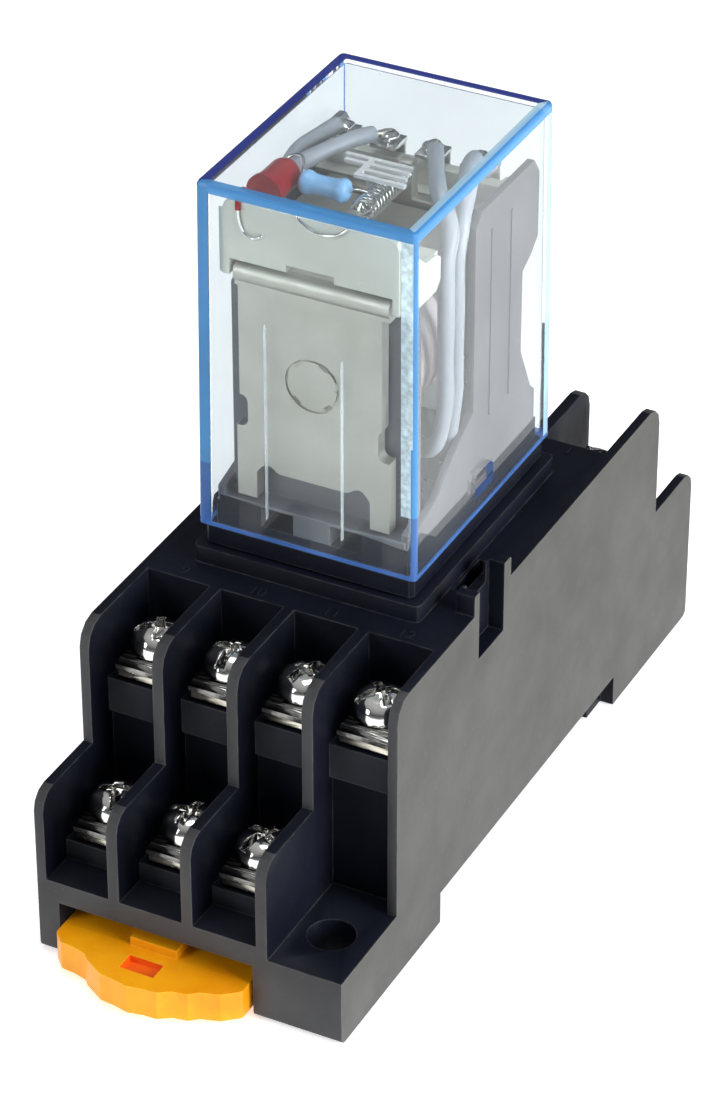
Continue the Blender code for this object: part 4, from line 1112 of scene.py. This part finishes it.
def dress_base():
    """The grey moulding, its paler side walls in a copy of the grey toned for the light on them (painted
    light), its foot painted near black as shade, and two thin ridges on each side.
    """
    base = soften_node("relay_base", 0.1, MATERIALS["grey"])
    dress(base, MATERIALS["grey"], MATERIALS["pale_grey"], MATERIALS["deck"])
    for face in base.data.polygons:
        height = face.center.z / MM - RELAY.z
        outside = abs(face.normal.x) > 0.9 and abs(face.center.x) > 9.3 * MM
        # Painted light and shade: the outer side walls take the side copy of the grey, and the lowest band
        # takes the near-black deck as painted shade.
        if outside and height > 2.4:
            face.material_index = 1
        elif height < 1.4:
            face.material_index = 2
    bm = bmesh.new()
    for side in (-1, 1):
        first, last = sorted((side * 9.4, side * 9.58))
        for y in (2.6, 6.6):
            add_box(bm, (first, y - 0.12, 8.0), (last, y + 0.12, 27.0))
    ridges = bevelled(finish_mesh(bm, "relay_base_ridges"), 0.04)
    on_relay(ridges, "pale_grey")


def dress_relay():
    dress_base()
    soften_node("indicator_plate", 0.15, MATERIALS["cream"])
    soften_node("bobbin", 0.15, MATERIALS["bobbin"])
    soften_node("armature", 0.15, MATERIALS["yoke"])
    soften_node("contact_card", 0.12, MATERIALS["cream"])
    for name in NODES:
        if name[:3] in ("nc_", "no_") or name.startswith(("coil_1", "coil_2", "moving_")):
            soften_node(name, 0.06, MATERIALS["silver"], 1)
    make_yoke()
    make_comb()
    make_winding()
    make_indicator()
    make_resistor()
    make_lamp_leads()
    make_spring()
    for index in range(4):
        make_common(index)
        make_solder(index)
    make_cover()
    make_ribs()


# ---------------------------------------------------------------- stage, lights and camera

def make_stage():
    bm = bmesh.new()
    bmesh.ops.create_grid(bm, x_segments=2, y_segments=2, size=1.5)
    floor = finish_mesh(bm, "floor", 1.0)
    floor.location.z = FLOOR_Z - 0.0002
    m = Nodes("floor_paper")
    m.colour(m.ramp(m.noise(3.0, 2.0, 0.5), (0.3, (0.93, 0.93, 0.93)), (0.7, (0.96, 0.96, 0.96))))
    m.set(Roughness=0.9, Emission_Color=(1.0, 1.0, 1.0, 1.0), Emission_Strength=0.55)
    dress(floor, m.material)


def area_light(name, place, size, power, colour=(1.0, 1.0, 1.0)):
    data = bpy.data.lights.new(name, "AREA")
    data.shape = "RECTANGLE"
    data.size, data.size_y = size
    data.energy = power
    data.color = colour
    lamp = link(bpy.data.objects.new(name, data))
    lamp.location = place
    lamp.rotation_mode = "QUATERNION"
    lamp.rotation_quaternion = (Vector((0, 0, 0.02)) - Vector(place)).to_track_quat("-Z", "Y")
    return lamp


def make_lights():
    world = bpy.data.worlds.new("studio")
    bpy.context.scene.world = world
    world.use_nodes = True
    tree = world.node_tree
    place = tree.nodes.new("ShaderNodeTexCoord")
    parts = tree.nodes.new("ShaderNodeSeparateXYZ")
    ramp = tree.nodes.new("ShaderNodeValToRGB")
    tree.links.new(place.outputs["Generated"], parts.inputs[0])
    tree.links.new(parts.outputs["Z"], ramp.inputs[0])
    stops = ramp.color_ramp.elements
    stops[0].position, stops[0].color = 0.0, (0.45, 0.46, 0.48, 1)
    stops[1].position, stops[1].color = 0.95, (1.0, 1.0, 1.0, 1)
    middle = stops.new(0.4)
    middle.color = (0.16, 0.165, 0.175, 1)
    tree.links.new(ramp.outputs[0], tree.nodes["Background"].inputs[0])
    tree.nodes["Background"].inputs[1].default_value = 0.5
    area_light("key_right", (0.42, -0.05, 0.16), (0.26, 0.26), 2.6)
    area_light("fill_left", (-0.30, -0.38, 0.22), (0.20, 0.20), 0.9)
    area_light("top_soft", (0.02, -0.02, 0.50), (0.20, 0.20), 0.6)


def make_camera():
    data = bpy.data.cameras.new("camera")
    data.lens = 142.26
    data.sensor_width = 36.0
    data.clip_start, data.clip_end = 0.01, 10.0
    camera = link(bpy.data.objects.new("camera", data))
    azimuth, elevation, distance = math.radians(26.995), math.radians(33.419), 0.398473
    target = Vector((-0.001393, RELAY.y * MM, (RELAY.z - 8.168) * MM))
    back = Vector((math.sin(azimuth) * math.cos(elevation), -math.cos(azimuth) * math.cos(elevation),
                   math.sin(elevation)))
    camera.location = target + back * distance
    camera.rotation_mode = "QUATERNION"
    camera.rotation_quaternion = (-back).to_track_quat("-Z", "Y")
    bpy.context.scene.camera = camera


bpy.context.scene.view_settings.view_transform = "Standard"
make_stage()
make_lights()
make_camera()
dress_socket()
make_numerals()
make_terminals()
make_clip()
dress_relay()
